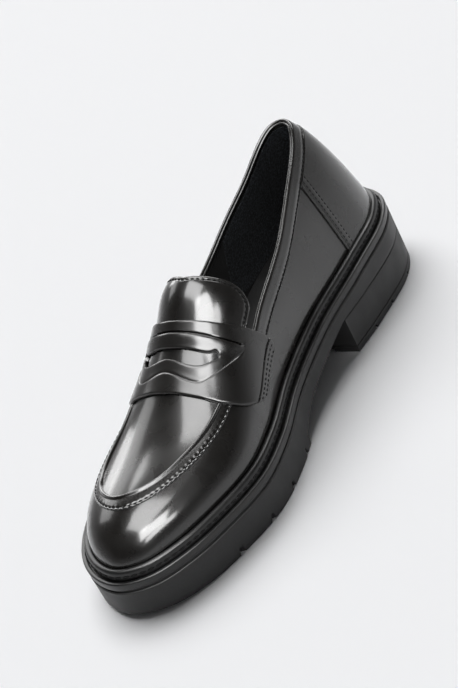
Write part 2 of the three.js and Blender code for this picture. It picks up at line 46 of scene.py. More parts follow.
# Sizes of the solids
SOLE_LENGTH = 278.0
SOLE_WIDTH = 92.0
BACK_HEIGHT = 103.0
RIM_HEIGHT = 60.0
INSTEP_HEIGHT = 92.0
TOE_HEIGHT = 45.0
FOREFOOT_LIP = 21.9
HEEL_LIP = 37.0
TOE_SPRING = 3.4
HEEL_LENGTH = 92.0
HEEL_HEIGHT = 21.0
TOP_PIECE = 3.6
TREAD_START = 158.0
TREAD_SLANT = 9.0
LUG_DEPTH = 4.5
LIP_BAND = 4.2
CHANNEL = 1.2
FLANGE = 2.2
BEAD_HEIGHT = 4.5
BEAD_START = 2.8
WELT_REACH = 7.0
EDGE_BAND = 13.0
TREAD_GAP = 3.0
NOTCH = 2.2
NOTCH_PITCH = 22.5
LUG_PITCH = 17.0
TOE_PLATE = 36.0
HEEL_TREAD = 2.2
UPPER_WALL = 2.0
INSOLE = 3.2
COUNTER = 1.2
COUNTER_LENGTH = 60.0
COLLAR_DEPTH = 8.0
STRAP = 1.9
THROAT = 168.0
BULGE = 2.2
TOE_FAN = 82.0
HEEL_FAN = 111.0
FIT = 0.3

# Sizes of the details that only the dressed shoe has, with turns in radians
LIP_ROUND = 0.75
LEATHER_ROUND = 0.95
STRAP_ROUND = 0.8
TREAD_STEP = 0.4
LUG_TURN = 0.7
NOTCH_TURN = 0.45
GROOVE_WALL = 0.5
GROOVE_DEPTH_SHARE = 0.8
HEEL_SLOT = 1.5
HEEL_PIT_HALF_WIDTH = 2.8
TONGUE_SEAM_INSET = 2.1
COLLAR_SEAM_INSET = 1.3
COUNTER_SEAM_INSETS = (2.4, 5.2)
APRON_SEAM_INSET = 1.3
SEAM_DEPTH = 0.28
SLIT_DEPTH = 1.5
SLIT_LIP = 0.45
CREASE_SINK = 0.3
CREASE_LINE = 0.3
TAB_GROOVE = 0.9
COUNTER_SET = 0.3
COUNTER_GROOVE = 0.7
APRON_RISE = 1.35
APRON_STEP = 0.75
APRON_SEAM_DEPTH = 0.22
PUCKER = 0.09
PLUG_RISE = 0.16
UNDERLAP = 0.4
# Depths of the two faces of lining and heel grip below the upper's wall
LINING_DEPTHS = (0.05, 0.35)
HEEL_GRIP_DEPTHS = (0.75, 0.1)
# A distance past every edge
FAR = 99.0

# Seams: distance from stitch to stitch, length and thickness of a stitch
WELT_SEAM = (4.2, 3.4, 0.9)
TONGUE_SEAM = (2.6, 1.7, 0.85)
STRAP_SEAM = (2.5, 1.7, 0.75)
COLLAR_SEAM = (2.5, 1.7, 0.7)
COUNTER_SEAM = (2.4, 1.6, 0.6)
APRON_SEAM = (2.9, 2.0, 0.6)

# Plan of the sole's edge: share of the length, share of the half width
EDGE = [
    (0.000, 0.00), (0.030, 0.43), (0.105, 0.68), (0.240, 0.73), (0.390, 0.69), (0.520, 0.75),
    (0.640, 0.925), (0.735, 0.985), (0.835, 0.86), (0.915, 0.68), (0.975, 0.42), (1.000, 0.08),
    (0.987, -0.265), (0.945, -0.59), (0.865, -0.87), (0.765, -1.00), (0.660, -0.95), (0.540, -0.79),
    (0.400, -0.695), (0.250, -0.725), (0.105, -0.68), (0.030, -0.43),
]
# Height of the lip: share of the length, share of the rise from the forefoot's lip to the heel's
LIP = [
    (0.00, 1.00), (0.10, 1.00), (0.20, 0.94), (0.29, 0.81), (0.38, 0.62), (0.47, 0.39), (0.57, 0.165),
    (0.68, 0.033), (0.85, -0.005), (1.00, 0.025),
]
# Arch: share of the way from the heel to the tread, share of the rise
ARCH = [(0, 1), (0.24, 0.79), (0.64, 0.49), (0.80, 0.30), (1, 0)]
# Ridge: share of the length, then shares of the back's, the instep's and the toe's heights
RIDGE = [
    (0.00, 1.088, 0, 0), (0.072, 1.092, 0, 0), (0.216, 1.068, 0, 0), (0.342, 0.55, 0.535, 0),
    (0.432, 0, 1.033, 0), (0.486, 0, 1.01, 0), (0.529, 0, 1.00, 0), (0.597, 0, 0.842, 0),
    (0.647, 0, 0.728, 0), (0.683, 0, 0.652, 0), (0.719, 0, 0.592, 0), (0.755, 0, 0.276, 0.565),
    (0.795, 0, 0, 1.073), (0.874, 0, 0, 1.00), (0.906, 0, 0, 0.962), (0.942, 0, 0, 0.896),
    (0.971, 0, 0, 0.822),
]
# Fullness of the ribs: share of the length, half the power of their rise
LEAN = [
    (0.00, 1.13), (0.108, 1.25), (0.216, 1.36), (0.306, 0.95), (0.396, 0.62), (0.468, 0.56),
    (0.647, 0.56), (0.737, 0.46), (0.845, 0.42), (1.00, 0.42),
]
# Shift of the ridge: share of the length, share of the half width
SPINE = [(0.00, 0), (0.216, 0), (0.432, 0), (0.647, 0), (0.791, 0.011), (0.899, 0.043), (1.00, 0.085)]
# Collar's edge: share of the length, share of the rise from the rim's height to the back's
COLLAR = [
    (0.076, 1.00), (0.112, 0.985), (0.162, 0.84), (0.216, 0.665), (0.288, 0.475), (0.360, 0.285),
    (0.432, 0.14), (0.504, 0.00), (0.540, -0.085), (0.615, -0.27),
]
# Edges of strap and tongue: degrees up the rib, millimetres from the heel's back
STRAP_BACK = [
    (17.6, 149), (17.8, 146.8), (18.4, 144.4), (19.3, 142.7), (21, 141.2), (23.5, 141), (27, 142.7),
    (33, 146.7), (39, 150.2), (53, 156.7), (65, 160), (81, 162.3), (90, 162.6),
]
STRAP_FRONT = [
    (17.6, 162.5), (17.75, 165), (18.3, 167.8), (20, 171.8), (24, 176.3), (29, 180.5), (35, 184),
    (41, 186.5), (50, 189), (60, 190), (70, 190.6), (80, 190.8), (90, 191),
]
SLIT = [(38, 158.4), (45, 160.7), (55, 163.4), (70, 165.8), (85, 166.6), (90, 166.6)]
CREASE = [
    (38, 158.9), (39, 160.9), (42, 164.6), (50, 172.9), (58, 180.0), (64, 183.8), (71, 184.7),
    (80, 183.7), (86, 182.7), (90, 182.4),
]
OPENING_BACK = [
    (54.5, 169.6), (56, 169.0), (60, 170.4), (64, 171.6), (76, 172.6), (84, 172.9), (90, 173),
]
OPENING_FRONT = [
    (54.5, 170.8), (56, 172.2), (58, 173.4), (63, 176.2), (68, 177.9), (74, 178.4), (80, 178.0),
    (86, 177.3), (90, 177.0),
]
TONGUE_EDGE = [
    (39.4, 167), (39.4, 158), (39.8, 150.2), (40.7, 145.4), (42.2, 141.6), (44.4, 139.4), (48, 137.8),
    (53, 137.0), (61, 138.2), (75, 142), (90, 144.2),
]
# Places on the strap, in degrees up the rib: its middle, its end, the seam of its tab, the start of the
# leaf between slit and crease, and the start of the opening
STRAP_CENTRE = 92.5
STRAP_END = 17.6
TAB_SEAM = 24.2
LEAF_START = 38
OPENING_START = 54.5
# Rows of stitches on the tab: degrees up the rib, first and last station
TAB_ROWS = [(20.0, 145.5, 168.5), (22.3, 144.0, 172.0)]
# The tongue: degrees where it starts, how far its corners stand off, over how many degrees from the ridge,
# and the stations where they stand off fully and not at all
TONGUE_START = 39.4
TONGUE_FLARE = 4.0
TONGUE_CORNER = 52
TONGUE_FREE = (138, 163)
# Where on either side the collar's band, its stitches and the heel's sheets end: millimetres from the back
COLLAR_BAND_END = 157.0
COLLAR_STITCH_END = 146.0
HEEL_SHEET_REACH = 126.0
# The counter: tuck under the collar's band, degrees up the rib of its foot and of its stitches' foot
COUNTER_TUCK = 0.6
COUNTER_FOOT = 6
COUNTER_STITCH_FOOT = 13
# The heel grip: its front at the foot, how far that leans back at the top, its drop, its foot in degrees
GRIP_FRONT = 98
GRIP_LEAN = 7
GRIP_DROP = 2.4
GRIP_FOOT = 12
# Plan of the apron's two seams: share of the length, share of the half width
APRON_INNER = [
    (0.660, 0.56), (0.737, 0.50), (0.788, 0.405), (0.842, 0.25), (0.869, 0.075), (0.878, -0.09),
    (0.872, -0.24), (0.857, -0.38), (0.831, -0.485), (0.781, -0.555), (0.730, -0.56), (0.660, -0.56),
]
APRON_OUTER = [
    (0.660, 0.65), (0.724, 0.64), (0.774, 0.575), (0.832, 0.445), (0.878, 0.28), (0.903, 0.055),
    (0.900, -0.19), (0.875, -0.44), (0.849, -0.57), (0.799, -0.675), (0.737, -0.70), (0.660, -0.68),
]


# Curves
def natural_curve(rows, column=1):
    x = np.array([row[0] for row in rows], float)
    y = np.array([row[column] for row in rows], float)
    n = len(x)
    h = np.diff(x)
    system = np.eye(n)
    target = np.zeros(n)
    for i in range(1, n - 1):
        system[i, i - 1:i + 2] = h[i - 1], 2 * (h[i - 1] + h[i]), h[i]
        target[i] = 6 * ((y[i + 1] - y[i]) / h[i] - (y[i] - y[i - 1]) / h[i - 1])
    bend = np.linalg.solve(system, target)

    def value(at):
        u = np.clip(np.asarray(at, float), x[0], x[-1])
        i = np.clip(np.searchsorted(x, u, side="right") - 1, 0, n - 2)
        a = (x[i + 1] - u) / h[i]
        b = 1 - a
        return a * y[i] + b * y[i + 1] + ((a**3 - a) * bend[i] + (b**3 - b) * bend[i + 1]) * h[i]**2 / 6
    return value


EDGE_POINTS = np.array([(across * SOLE_WIDTH / 2, along * SOLE_LENGTH) for along, across in EDGE])


def raw_edge(t):
    """The closed curve through the plan's points, before it is stretched to the named length and width."""
    n = len(EDGE_POINTS)
    place = (np.asarray(t, float) % 1.0) * n
    first = np.floor(place).astype(int)
    w = (place - first)[..., None]
    p0, p1, p2, p3 = (EDGE_POINTS[(first + k) % n] for k in (-1, 0, 1, 2))
    pairs = ((p0, p1), (p1, p2), (p2, p3))
    d0, d1, d2 = (np.sqrt(np.linalg.norm(b - a, axis=-1))[..., None] for a, b in pairs)
    start = ((p1 - p0) / d0 - (p2 - p0) / (d0 + d1) + (p2 - p1) / d1) * d1
    end = ((p2 - p1) / d1 - (p3 - p1) / (d1 + d2) + (p3 - p2) / d2) * d1
    return p1 + start * w + (3 * (p2 - p1) - 2 * start - end) * w**2 + (2 * (p1 - p2) + start + end) * w**3


EDGE_SPAN = raw_edge(np.linspace(0, 1, 2001))
EDGE_LOW, EDGE_HIGH = EDGE_SPAN.min(0), EDGE_SPAN.max(0)


def edge_at(t):
    share = (raw_edge(t) - EDGE_LOW) / (EDGE_HIGH - EDGE_LOW)
    return (share[..., 0] - 0.5) * SOLE_WIDTH, share[..., 1] * SOLE_LENGTH


def edge_normal(t):
    step = 1e-4
    ax, as_ = edge_at(t - step)
    bx, bs = edge_at(t + step)
    length = np.hypot(bx - ax, bs - as_)
    return (bs - as_) / length, -(bx - ax) / length


def inset_edge(t, inset):
    x, s = edge_at(t)
    nx, ns = edge_normal(t)
    return x - nx * inset, s - ns * inset


DENSE = np.linspace(0, 1, 20001)
TOE_PLACE = float(DENSE[np.argmax(edge_at(DENSE)[1])])
HEEL_PLACE = float((DENSE - 0.5)[np.argmin(edge_at(DENSE - 0.5)[1])])
INNER_TURNS = np.linspace(HEEL_PLACE, TOE_PLACE, 8001)
OUTER_TURNS = np.linspace(HEEL_PLACE + 1, TOE_PLACE, 8001)


def place_at(s, side, inset=0.0):
    """Where on the sole's edge a station lies, on the inner side (+1) or the outer side (-1)."""
    turns = INNER_TURNS if side > 0 else OUTER_TURNS
    stations = np.maximum.accumulate(inset_edge(turns, inset)[1])
    return np.interp(s, stations, turns)


def facing_places(count, inset=0.0):
    """Places in pairs that face each other across the shoe: heel, inner side, toe, outer side back."""
    inner = np.linspace(HEEL_PLACE, TOE_PLACE, count + 1)
    stations = inset_edge(inner, inset)[1]
    outer = place_at(stations[1:-1], -1, inset)[::-1]
    return np.concatenate([inner, outer])


lip_rise = natural_curve(LIP)
spine_share = natural_curve(SPINE)
lean_power = natural_curve(LEAN)
ridge_back, ridge_instep, ridge_toe = (natural_curve(RIDGE, column) for column in (1, 2, 3))
collar_rise = natural_curve(COLLAR)


def flowing_curve(points, count):
    """Even steps along natural cubics through points, whichever way they run."""
    points = np.array(points, float)
    lengths = np.concatenate([[0], np.cumsum(np.linalg.norm(np.diff(points, axis=0), axis=1))])
    table = [(length, u, v) for length, (u, v) in zip(lengths / lengths[-1], points)]
    share = np.linspace(0, 1, count)
    return np.stack([natural_curve(table, 1)(share), natural_curve(table, 2)(share)], -1)


def edge_line(rows):
    """Stations of an edge by the angle up the rib, steep parts included."""
    line = flowing_curve(rows, 900)
    angles = np.maximum.accumulate(line[:, 0])
    return lambda angle: np.interp(angle, angles, line[:, 1])


def shifted(rows, distance):
    """A line of (angle, station) moved aside, with degrees taken as millimetres."""
    line = flowing_curve(rows, 200)
    step = np.gradient(line, axis=0)
    step /= np.linalg.norm(step, axis=1)[:, None]
    return line + np.stack([-step[:, 1], step[:, 0]], -1) * distance


def lip(s):
    return FOREFOOT_LIP + (HEEL_LIP - FOREFOOT_LIP) * lip_rise(s / SOLE_LENGTH)


def spring(s):
    return TOE_SPRING * np.clip((s / SOLE_LENGTH - 0.84) / 0.16, 0, 1) ** 2


def seat(s):
    return lip(s) - CHANNEL + FIT


def spine(s):
    return spine_share(s / SOLE_LENGTH) * SOLE_WIDTH / 2


def ridge(s):
    u = s / SOLE_LENGTH
    return ridge_back(u) * BACK_HEIGHT + ridge_instep(u) * INSTEP_HEIGHT + ridge_toe(u) * TOE_HEIGHT


def collar_height(s):
    return RIM_HEIGHT + (BACK_HEIGHT - RIM_HEIGHT) * collar_rise(s / SOLE_LENGTH)


def arch(s):
    share = (s - HEEL_LENGTH - FIT) / (TREAD_START - HEEL_LENGTH - FIT)
    rise = np.interp(share, [row[0] for row in ARCH], [row[1] for row in ARCH])
    return LUG_DEPTH + (HEEL_HEIGHT - LUG_DEPTH) * rise + spring(s)


def at(x, s, z):
    x, s, z = np.broadcast_arrays(x, s, z)
    return np.stack([x, SOLE_LENGTH / 2 - s, z], -1)


def rib_end(s):
    front, back = SOLE_LENGTH - WELT_REACH, WELT_REACH
    toe = np.clip((s - front + TOE_FAN) / TOE_FAN, 0, 1)
    heel = np.clip((back + HEEL_FAN - s) / HEEL_FAN, 0, 1)
    turned = np.where(toe > 0, front - TOE_FAN + TOE_FAN * (toe - toe**3 / 3), s)
    return np.where(heel > 0, back + HEEL_FAN - HEEL_FAN * (heel - heel**3 / 3), turned)


def upper_point(t, climb):
    """The upper's outer face: climb runs from 0 at the welt to a right angle on the ridge."""
    foot_x, foot_s = inset_edge(t, WELT_REACH)
    nx, ns = edge_normal(t)
    end = rib_end(foot_s)
    reach = np.cos(climb)
    swell = BULGE * np.sin(2 * climb)
    s = end + (foot_s - end) * reach
    x = spine(s) + (foot_x - spine(foot_s)) * reach
    rise = np.sin(np.maximum(climb, 0)) ** (2 * lean_power(s / SOLE_LENGTH))
    return at(x + nx * swell, s + ns * swell, lip(s) + (ridge(s) - lip(s)) * rise)


def unit(v):
    return v / np.maximum(np.linalg.norm(v, axis=-1, keepdims=True), 1e-12)


def upper_normal(t, climb):
    step = 1e-3
    turn = upper_point(t + step, climb) - upper_point(t - step, climb)
    rise = upper_point(t, climb + step) - upper_point(t, np.maximum(climb - step, 0))
    return unit(np.cross(rise, turn))


def upper_at(t, climb, distance):
    t, climb, distance = np.broadcast_arrays(t, climb, distance)
    return upper_point(t, climb) + upper_normal(t, climb) * distance[..., None]


def across_at(angle, s):
    """The place and climb of a point angle degrees up from the inner side, past 90 on the outer side."""
    angle, s = np.broadcast_arrays(np.asarray(angle, float), np.asarray(s, float))
    t = np.where(angle <= 90, place_at(s, 1, WELT_REACH), place_at(s, -1, WELT_REACH))
    return t, np.radians(np.where(angle <= 90, angle, 180 - angle))


# Meshes
def new_object(name, vertices, faces):
    """An object from points in millimetres: doubles merged, faces pointing outwards, shaded smooth."""
    mesh = bpy.data.meshes.new(name)
    mesh.from_pydata([tuple(v) for v in np.asarray(vertices) * MM], [], faces)
    mesh.validate()
    shape = bmesh.new()
    shape.from_mesh(mesh)
    bmesh.ops.remove_doubles(shape, verts=shape.verts, dist=0.02 * MM)
    bmesh.ops.dissolve_degenerate(shape, edges=shape.edges, dist=0.001 * MM)
    loose = [v for v in shape.verts if not v.link_faces]
    bmesh.ops.delete(shape, geom=loose, context="VERTS")
    bmesh.ops.recalc_face_normals(shape, faces=shape.faces)
    shape.to_mesh(mesh)
    shape.free()
    mesh.polygons.foreach_set("use_smooth", [True] * len(mesh.polygons))
    piece = bpy.data.objects.new(name, mesh)
    bpy.context.scene.collection.objects.link(piece)
    return piece


def soft_edges(piece, degrees):
    """Shades a piece smooth but for edges that are sharper than degrees."""
    chosen = {"object": piece, "active_object": piece}
    chosen.update(selected_objects=[piece], selected_editable_objects=[piece])
    with bpy.context.temp_override(**chosen):
        bpy.ops.object.shade_smooth_by_angle(angle=math.radians(degrees))
    return piece


def ring_faces(low, high, n):
    """Faces between two closed loops of n points, by the numbers of their first points."""
    return [(low + i, low + (i + 1) % n, high + (i + 1) % n, high + i) for i in range(n)]


def loop_body(name, loops, ring=False):
    """A body through loops that go round the shoe; open ends are closed by strips straight across."""
    loops = [np.asarray(loop) for loop in loops]
    n = len(loops[0])
    faces = []
    for k in range(len(loops) if ring else len(loops) - 1):
        faces += ring_faces(k * n, ((k + 1) % len(loops)) * n, n)
    if not ring:
        for start in (0, (len(loops) - 1) * n):
            for i in range(n // 2):
                strip = (start + i, start + i + 1, start + n - i - 1, start + (n - i) % n)
                faces.append(tuple(dict.fromkeys(strip)))
    return new_object(name, np.vstack(loops), faces)


def sheet_body(name, outer, inner, kept=None, wrap=False):
    """A wall between two grids of points; kept marks the cells that exist, by default all of them."""
    rows, columns = outer.shape[:2]
    if kept is None:
        kept = np.ones((rows - 1, columns - 1), bool)
    count = rows * columns
    index = np.arange(count).reshape(rows, columns)
    faces = []
    cell_rows = rows if wrap else rows - 1
    for i in range(cell_rows):
        j = (i + 1) % rows
        for k in np.nonzero(kept[i])[0]:
            a, b, c, d = index[i, k], index[j, k], index[j, k + 1], index[i, k + 1]
            faces.append((a, b, c, d))
            faces.append((d + count, c + count, b + count, a + count))
            before = (i - 1) % rows if wrap else i - 1
            if (before < 0) or not kept[before, k]:
                faces.append((a, d, d + count, a + count))
            after = (i + 1) % rows if wrap else i + 1
            if after >= cell_rows or not kept[after, k]:
                faces.append((c, b, b + count, c + count))
            if k == 0 or not kept[i, k - 1]:
                faces.append((b, a, a + count, b + count))
            if k == columns - 2 or not kept[i, k + 1]:
                faces.append((d, c, c + count, d + count))
    points = np.vstack([outer.reshape(-1, 3), inner.reshape(-1, 3)])
    return new_object(name, points, [tuple(int(v) for v in face) for face in faces])


def tube_body(name, grid):
    """A closed profile carried along a line: rows of the grid run along it, columns round the profile."""
    rows, columns = grid.shape[:2]
    faces = []
    for i in range(rows - 1):
        faces += ring_faces(i * columns, (i + 1) * columns, columns)
    faces += [tuple(range(columns)), tuple(range((rows - 1) * columns, rows * columns))]
    return new_object(name, grid.reshape(-1, 3), faces)


def eased(count):
    """Shares from 0 to 1, close together at both ends."""
    return 0.5 - 0.5 * np.cos(np.pi * np.arange(count + 1) / count)


def rounded(distance, radius):
    """How far a face drops this near to its edge, for a round edge."""
    d = np.clip(distance, 0, radius)
    return radius - np.sqrt(radius**2 - (radius - d) ** 2)


def border_gap(surface, border):
    """Distance of each point of a grid from the nearest point of a border."""
    gap = np.empty(surface.shape[:2])
    for i in range(0, len(surface), 40):
        steps = surface[i:i + 40, :, None] - border[None, None]
        gap[i:i + 40] = np.min(np.linalg.norm(steps, axis=-1), -1)
    return gap


def smooth_mask(value, low, high):
    """0 below low, 1 above high, and an even change between."""
    u = np.clip((value - low) / (high - low), 0, 1)
    return u * u * (3 - 2 * u)


# Nodes
def feed(tree, node, fed):
    """Sets a node's sockets, each to a value or to a link from another node's socket."""
    for label, value in fed.items():
        if isinstance(value, bpy.types.NodeSocket):
            tree.links.new(value, node.inputs[label])
        else:
            node.inputs[label].default_value = value


def add_node(tree, kind, fed=None, **settings):
    """A new node with its settings made first, because they decide which sockets it has."""
    node = tree.nodes.new(kind)
    for name, value in settings.items():
        setattr(node, name, value)
    feed(tree, node, fed or {})
    return node


def worked_out(tree, operation, *values, clamped=False):
    """The result of an operation on values or sockets."""
    fed = dict(enumerate(values))
    return add_node(tree, "ShaderNodeMath", fed, operation=operation, use_clamp=clamped).outputs[0]


def stretched(tree, value, low, high, start=0.0, end=1.0):
    """A value's share of the way from low to high, told as a number from start to end."""
    fed = {"Value": value, "From Min": low, "From Max": high, "To Min": start, "To Max": end}
    return add_node(tree, "ShaderNodeMapRange", fed).outputs["Result"]


def mixed(tree, share, colour, other):
    """A colour on the way from one to another."""
    return add_node(tree, "ShaderNodeMix", {0: share, 6: colour, 7: other}, data_type="RGBA").outputs[2]


def new_group(name, kind, given, made):
    """A node group: each socket by its kind, or by the number that a plain one starts from."""
    tree = bpy.data.node_groups.new(name, kind)
    for side, sockets in (("INPUT", given), ("OUTPUT", made)):
        for label, start in sockets.items():
            plain = not isinstance(start, str)
            kind_of_socket = "NodeSocketFloat" if plain else start
            socket = tree.interface.new_socket(name=label, in_out=side, socket_type=kind_of_socket)
            if plain:
                socket.default_value = start
    return tree, tree.nodes.new("NodeGroupInput").outputs, tree.nodes.new("NodeGroupOutput")


# Materials
def grain_group():
    """Pebble and waviness of leather or moulded rubber as height, a slow mottle and small flecks."""
    sizes = {"Pebble Size": 0.0012, "Pebble": 1.0, "Wave Size": 0.02, "Wave": 1.0}
    made = {"Height": 0.0, "Mottle": 0.0, "Fleck": 0.0}
    tree, given, out = new_group("surface_grain", "ShaderNodeTree", sizes, made)
    place = add_node(tree, "ShaderNodeTexCoord").outputs["Object"]
    heights = []
    for name, texture in (("Pebble", "ShaderNodeTexVoronoi"), ("Wave", "ShaderNodeTexNoise")):
        scale = worked_out(tree, "DIVIDE", 1.0, given[name + " Size"])
        pattern = add_node(tree, texture, {"Vector": place, "Scale": scale}).outputs[0]
        heights.append(worked_out(tree, "MULTIPLY", pattern, given[name]))
    mottle = add_node(tree, "ShaderNodeTexNoise", {"Vector": place, "Scale": 60, "Detail": 4})
    fine = add_node(tree, "ShaderNodeTexNoise", {"Vector": place, "Scale": 900, "Detail": 3})
    feed(tree, out, {
        "Height": worked_out(tree, "ADD", *heights),
        "Mottle": mottle.outputs[0],
        "Fleck": stretched(tree, fine.outputs[0], 0.42, 0.66),
    })
    return tree


def wear_and_shade_group():
    """Masks from the shape: real wear, bright along sharp edges, and painted shade in grooves, given as a
    mask that is 1 everywhere but in them.
    """
    tree, given, out = new_group("edge_wear_and_groove_shade", "ShaderNodeTree", {"Amount": 1.0}, {"Mask": 0.0, "Free Of Painted Shade": 0.0})
    sharpness = add_node(tree, "ShaderNodeNewGeometry").outputs["Pointiness"]
    feed(tree, out, {
        "Mask": worked_out(tree, "MULTIPLY", stretched(tree, sharpness, 0.52, 0.62), given["Amount"]),
        "Free Of Painted Shade": stretched(tree, sharpness, 0.44, 0.49),
    })
    return tree


GRAIN, WEAR_AND_SHADE = grain_group(), wear_and_shade_group()


def finish(name, colour, worn, roughness, pebble=(0.0012, 0.3), wave=(0.02, 1.0), depth=0.02,
           coat=0.0, coat_roughness=0.1, specular=0.5, spread=0.06, wear=0.6, speckle=0.15):
    """A material: pebble and wave are (size in metres, amount), depth the bump's height in millimetres."""
    material = bpy.data.materials.new(name)
    material.use_nodes = True
    tree = material.node_tree
    grain = add_node(tree, "ShaderNodeGroup", node_tree=GRAIN)
    sizes = {"Pebble Size": pebble[0], "Pebble": pebble[1], "Wave Size": wave[0], "Wave": wave[1]}
    feed(tree, grain, sizes)
    edges = add_node(tree, "ShaderNodeGroup", node_tree=WEAR_AND_SHADE)
    feed(tree, edges, {"Amount": wear})
    fleck = worked_out(
        tree, "MULTIPLY_ADD", grain.outputs["Fleck"], speckle, edges.outputs["Mask"], clamped=True)
    low, high = max(roughness - spread, 0), roughness + spread
    bump = {"Strength": 1.0, "Distance": depth * MM, "Height": grain.outputs["Height"]}
    surface = {
        "Base Color": mixed(tree, fleck, (*colour, 1), (*worn, 1)),
        "Roughness": stretched(tree, grain.outputs["Mottle"], 0.3, 0.7, low, high),
        "Specular IOR Level": specular,
        "Coat Roughness": coat_roughness,
        "Normal": add_node(tree, "ShaderNodeBump", bump).outputs["Normal"],
    }
    if coat:
        # Painted shade: the coat is taken out of grooves so that they look dark, as if shadowed.
        surface["Coat Weight"] = worked_out(tree, "MULTIPLY", edges.outputs["Free Of Painted Shade"], coat)
    feed(tree, tree.nodes["Principled BSDF"], surface)
    return material


polished = finish(
    "polished_leather", (0.012, 0.0105, 0.009), (0.02, 0.02, 0.02), 0.28, wave=(0.014, 1.0),
    coat=1.0, coat_roughness=0.14, specular=0.3, wear=0.3)
strap_leather = finish(
    "strap_leather", (0.012, 0.0105, 0.009), (0.02, 0.02, 0.02), 0.3, pebble=(0.0008, 0.3),
    coat=0.9, coat_roughness=0.2, specular=0.3, wear=0.3)
rubber = finish(
    "matt_rubber", (0.009, 0.0088, 0.0088), (0.03, 0.029, 0.029), 0.5, pebble=(0.0006, 0.5),
    wave=(0.006, 0.6), spread=0.08)
lip_rubber = finish(
    "lip_rubber", (0.008, 0.008, 0.008), (0.03, 0.03, 0.03), 0.34, pebble=(0.0006, 0.4), wave=(0.006, 0.5))
lining_leather = finish(
    "lining_leather", (0.012, 0.012, 0.012), (0.02, 0.02, 0.02), 0.6, pebble=(0.001, 0.7), depth=0.05,
    wear=0.2, speckle=0.4)
suede = finish(
    "suede_grip", (0.02, 0.024, 0.029), (0.12, 0.137, 0.155), 0.95, pebble=(0.0007, 1.0), wave=(0.003, 1.0),
    depth=0.15, specular=0.2, wear=0, speckle=0.9)
thread = finish(
    "black_thread", (0.004, 0.004, 0.004), (0.008, 0.008, 0.008), 0.75, pebble=(0.0003, 1.0), depth=0.03,
    specular=0.15, wear=0.2, speckle=0.5)


def dress(piece, material, slot, *nodes):
    """Gives a piece its material, its body and the solids that it replaces; slot is not used."""
    piece.data.materials.clear()
    piece.data.materials.append(material)
    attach(piece, "root")
    if nodes:
        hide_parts(*nodes)
    return piece


# Stitches: short round lengths of thread set along a line
def stitch_tree():
    tree, given, out = new_group(
        "stitch_row", "GeometryNodeTree",
        {"Line": "NodeSocketGeometry", "Spacing": 0.003, "Length": 0.0022, "Thickness": 0.0007,
         "Material": "NodeSocketMaterial"},
        {"Stitches": "NodeSocketGeometry"})
    line = add_node(tree, "GeometryNodeMeshToCurve", {"Mesh": given["Line"]})
    spaced = add_node(tree, "GeometryNodeResampleCurve", mode="LENGTH")
    feed(tree, spaced, {"Curve": line.outputs["Curve"], "Length": given["Spacing"]})
    tangent = add_node(tree, "GeometryNodeInputTangent")
    turn = add_node(
        tree, "FunctionNodeAlignRotationToVector", {"Vector": tangent.outputs["Tangent"]}, axis="Z")
    ball = add_node(tree, "GeometryNodeMeshUVSphere", {"Segments": 6, "Rings": 5, "Radius": 0.5})
    size = {"X": given["Thickness"], "Y": given["Thickness"], "Z": given["Length"]}
    sizes = add_node(tree, "ShaderNodeCombineXYZ", size)
    set_out = add_node(tree, "GeometryNodeInstanceOnPoints", {
        "Points": spaced.outputs["Curve"],
        "Instance": ball.outputs["Mesh"],
        "Rotation": turn.outputs["Rotation"],
        "Scale": sizes.outputs["Vector"],
    })
    real = add_node(tree, "GeometryNodeRealizeInstances", {"Geometry": set_out.outputs["Instances"]})
    coloured = add_node(tree, "GeometryNodeSetMaterial", {"Material": given["Material"]})
    feed(tree, coloured, {"Geometry": real.outputs["Geometry"]})
    feed(tree, out, {"Stitches": coloured.outputs["Geometry"]})
    return tree


STITCHES = stitch_tree()


def stitch_rows(name, lines, seam, slot, closed=False):
    """One piece of stitches along any number of lines of points."""
    vertices, edges = [], []
    for line in lines:
        start = len(vertices)
        vertices += [tuple(p) for p in np.asarray(line) * MM]
        edges += [(start + i, start + i + 1) for i in range(len(line) - 1)]
        if closed:
            edges.append((len(vertices) - 1, start))
    mesh = bpy.data.meshes.new(name + "_line")
    mesh.from_pydata(vertices, edges, [])
    source = bpy.data.objects.new(name + "_line", mesh)
    bpy.context.scene.collection.objects.link(source)
    modifier = source.modifiers.new("stitches", "NODES")
    modifier.node_group = STITCHES
    spacing, length, thickness = seam
    values = {"Spacing": spacing * MM, "Length": length * MM, "Thickness": thickness * MM}
    values["Material"] = thread
    for item in STITCHES.interface.items_tree:
        if item.item_type == "SOCKET" and item.name in values:
            modifier[item.identifier] = values[item.name]
    evaluated = source.evaluated_get(bpy.context.evaluated_depsgraph_get())
    result = bpy.data.meshes.new_from_object(evaluated)
    bpy.data.objects.remove(source)
    result.name = name
    result.polygons.foreach_set("use_smooth", [True] * len(result.polygons))
    piece = bpy.data.objects.new(name, result)
    bpy.context.scene.collection.objects.link(piece)
    return dress(piece, thread, slot)


# Sole
SOLE_PLACES = facing_places(470)


def sole_loop(inset, height):
    """A loop round the sole, inset from its edge, at the height that a function gives for each station."""
    x, s = inset_edge(SOLE_PLACES, inset)
    return at(x, s, height(s))


def over(base, rise):
    """A height function that lies rise over another one."""
    return lambda s: base(s) + rise


def line_gap(x, s, x0, s0, angle, length):
    """Distance from a groove's centre line, or FAR past its ends."""
    dx, dy = x - x0, -(s - s0)
    along = dx * math.cos(angle) + dy * math.sin(angle)
    aside = np.abs(-dx * math.sin(angle) + dy * math.cos(angle))
    return np.where(np.abs(along) < length / 2, aside, FAR)


def groove_mask(gap, width):
    """1 in a groove and 0 outside it, by the distance from its centre line."""
    return 1 - smooth_mask(gap, width / 2 - GROOVE_WALL / 2, width / 2 + GROOVE_WALL / 2)


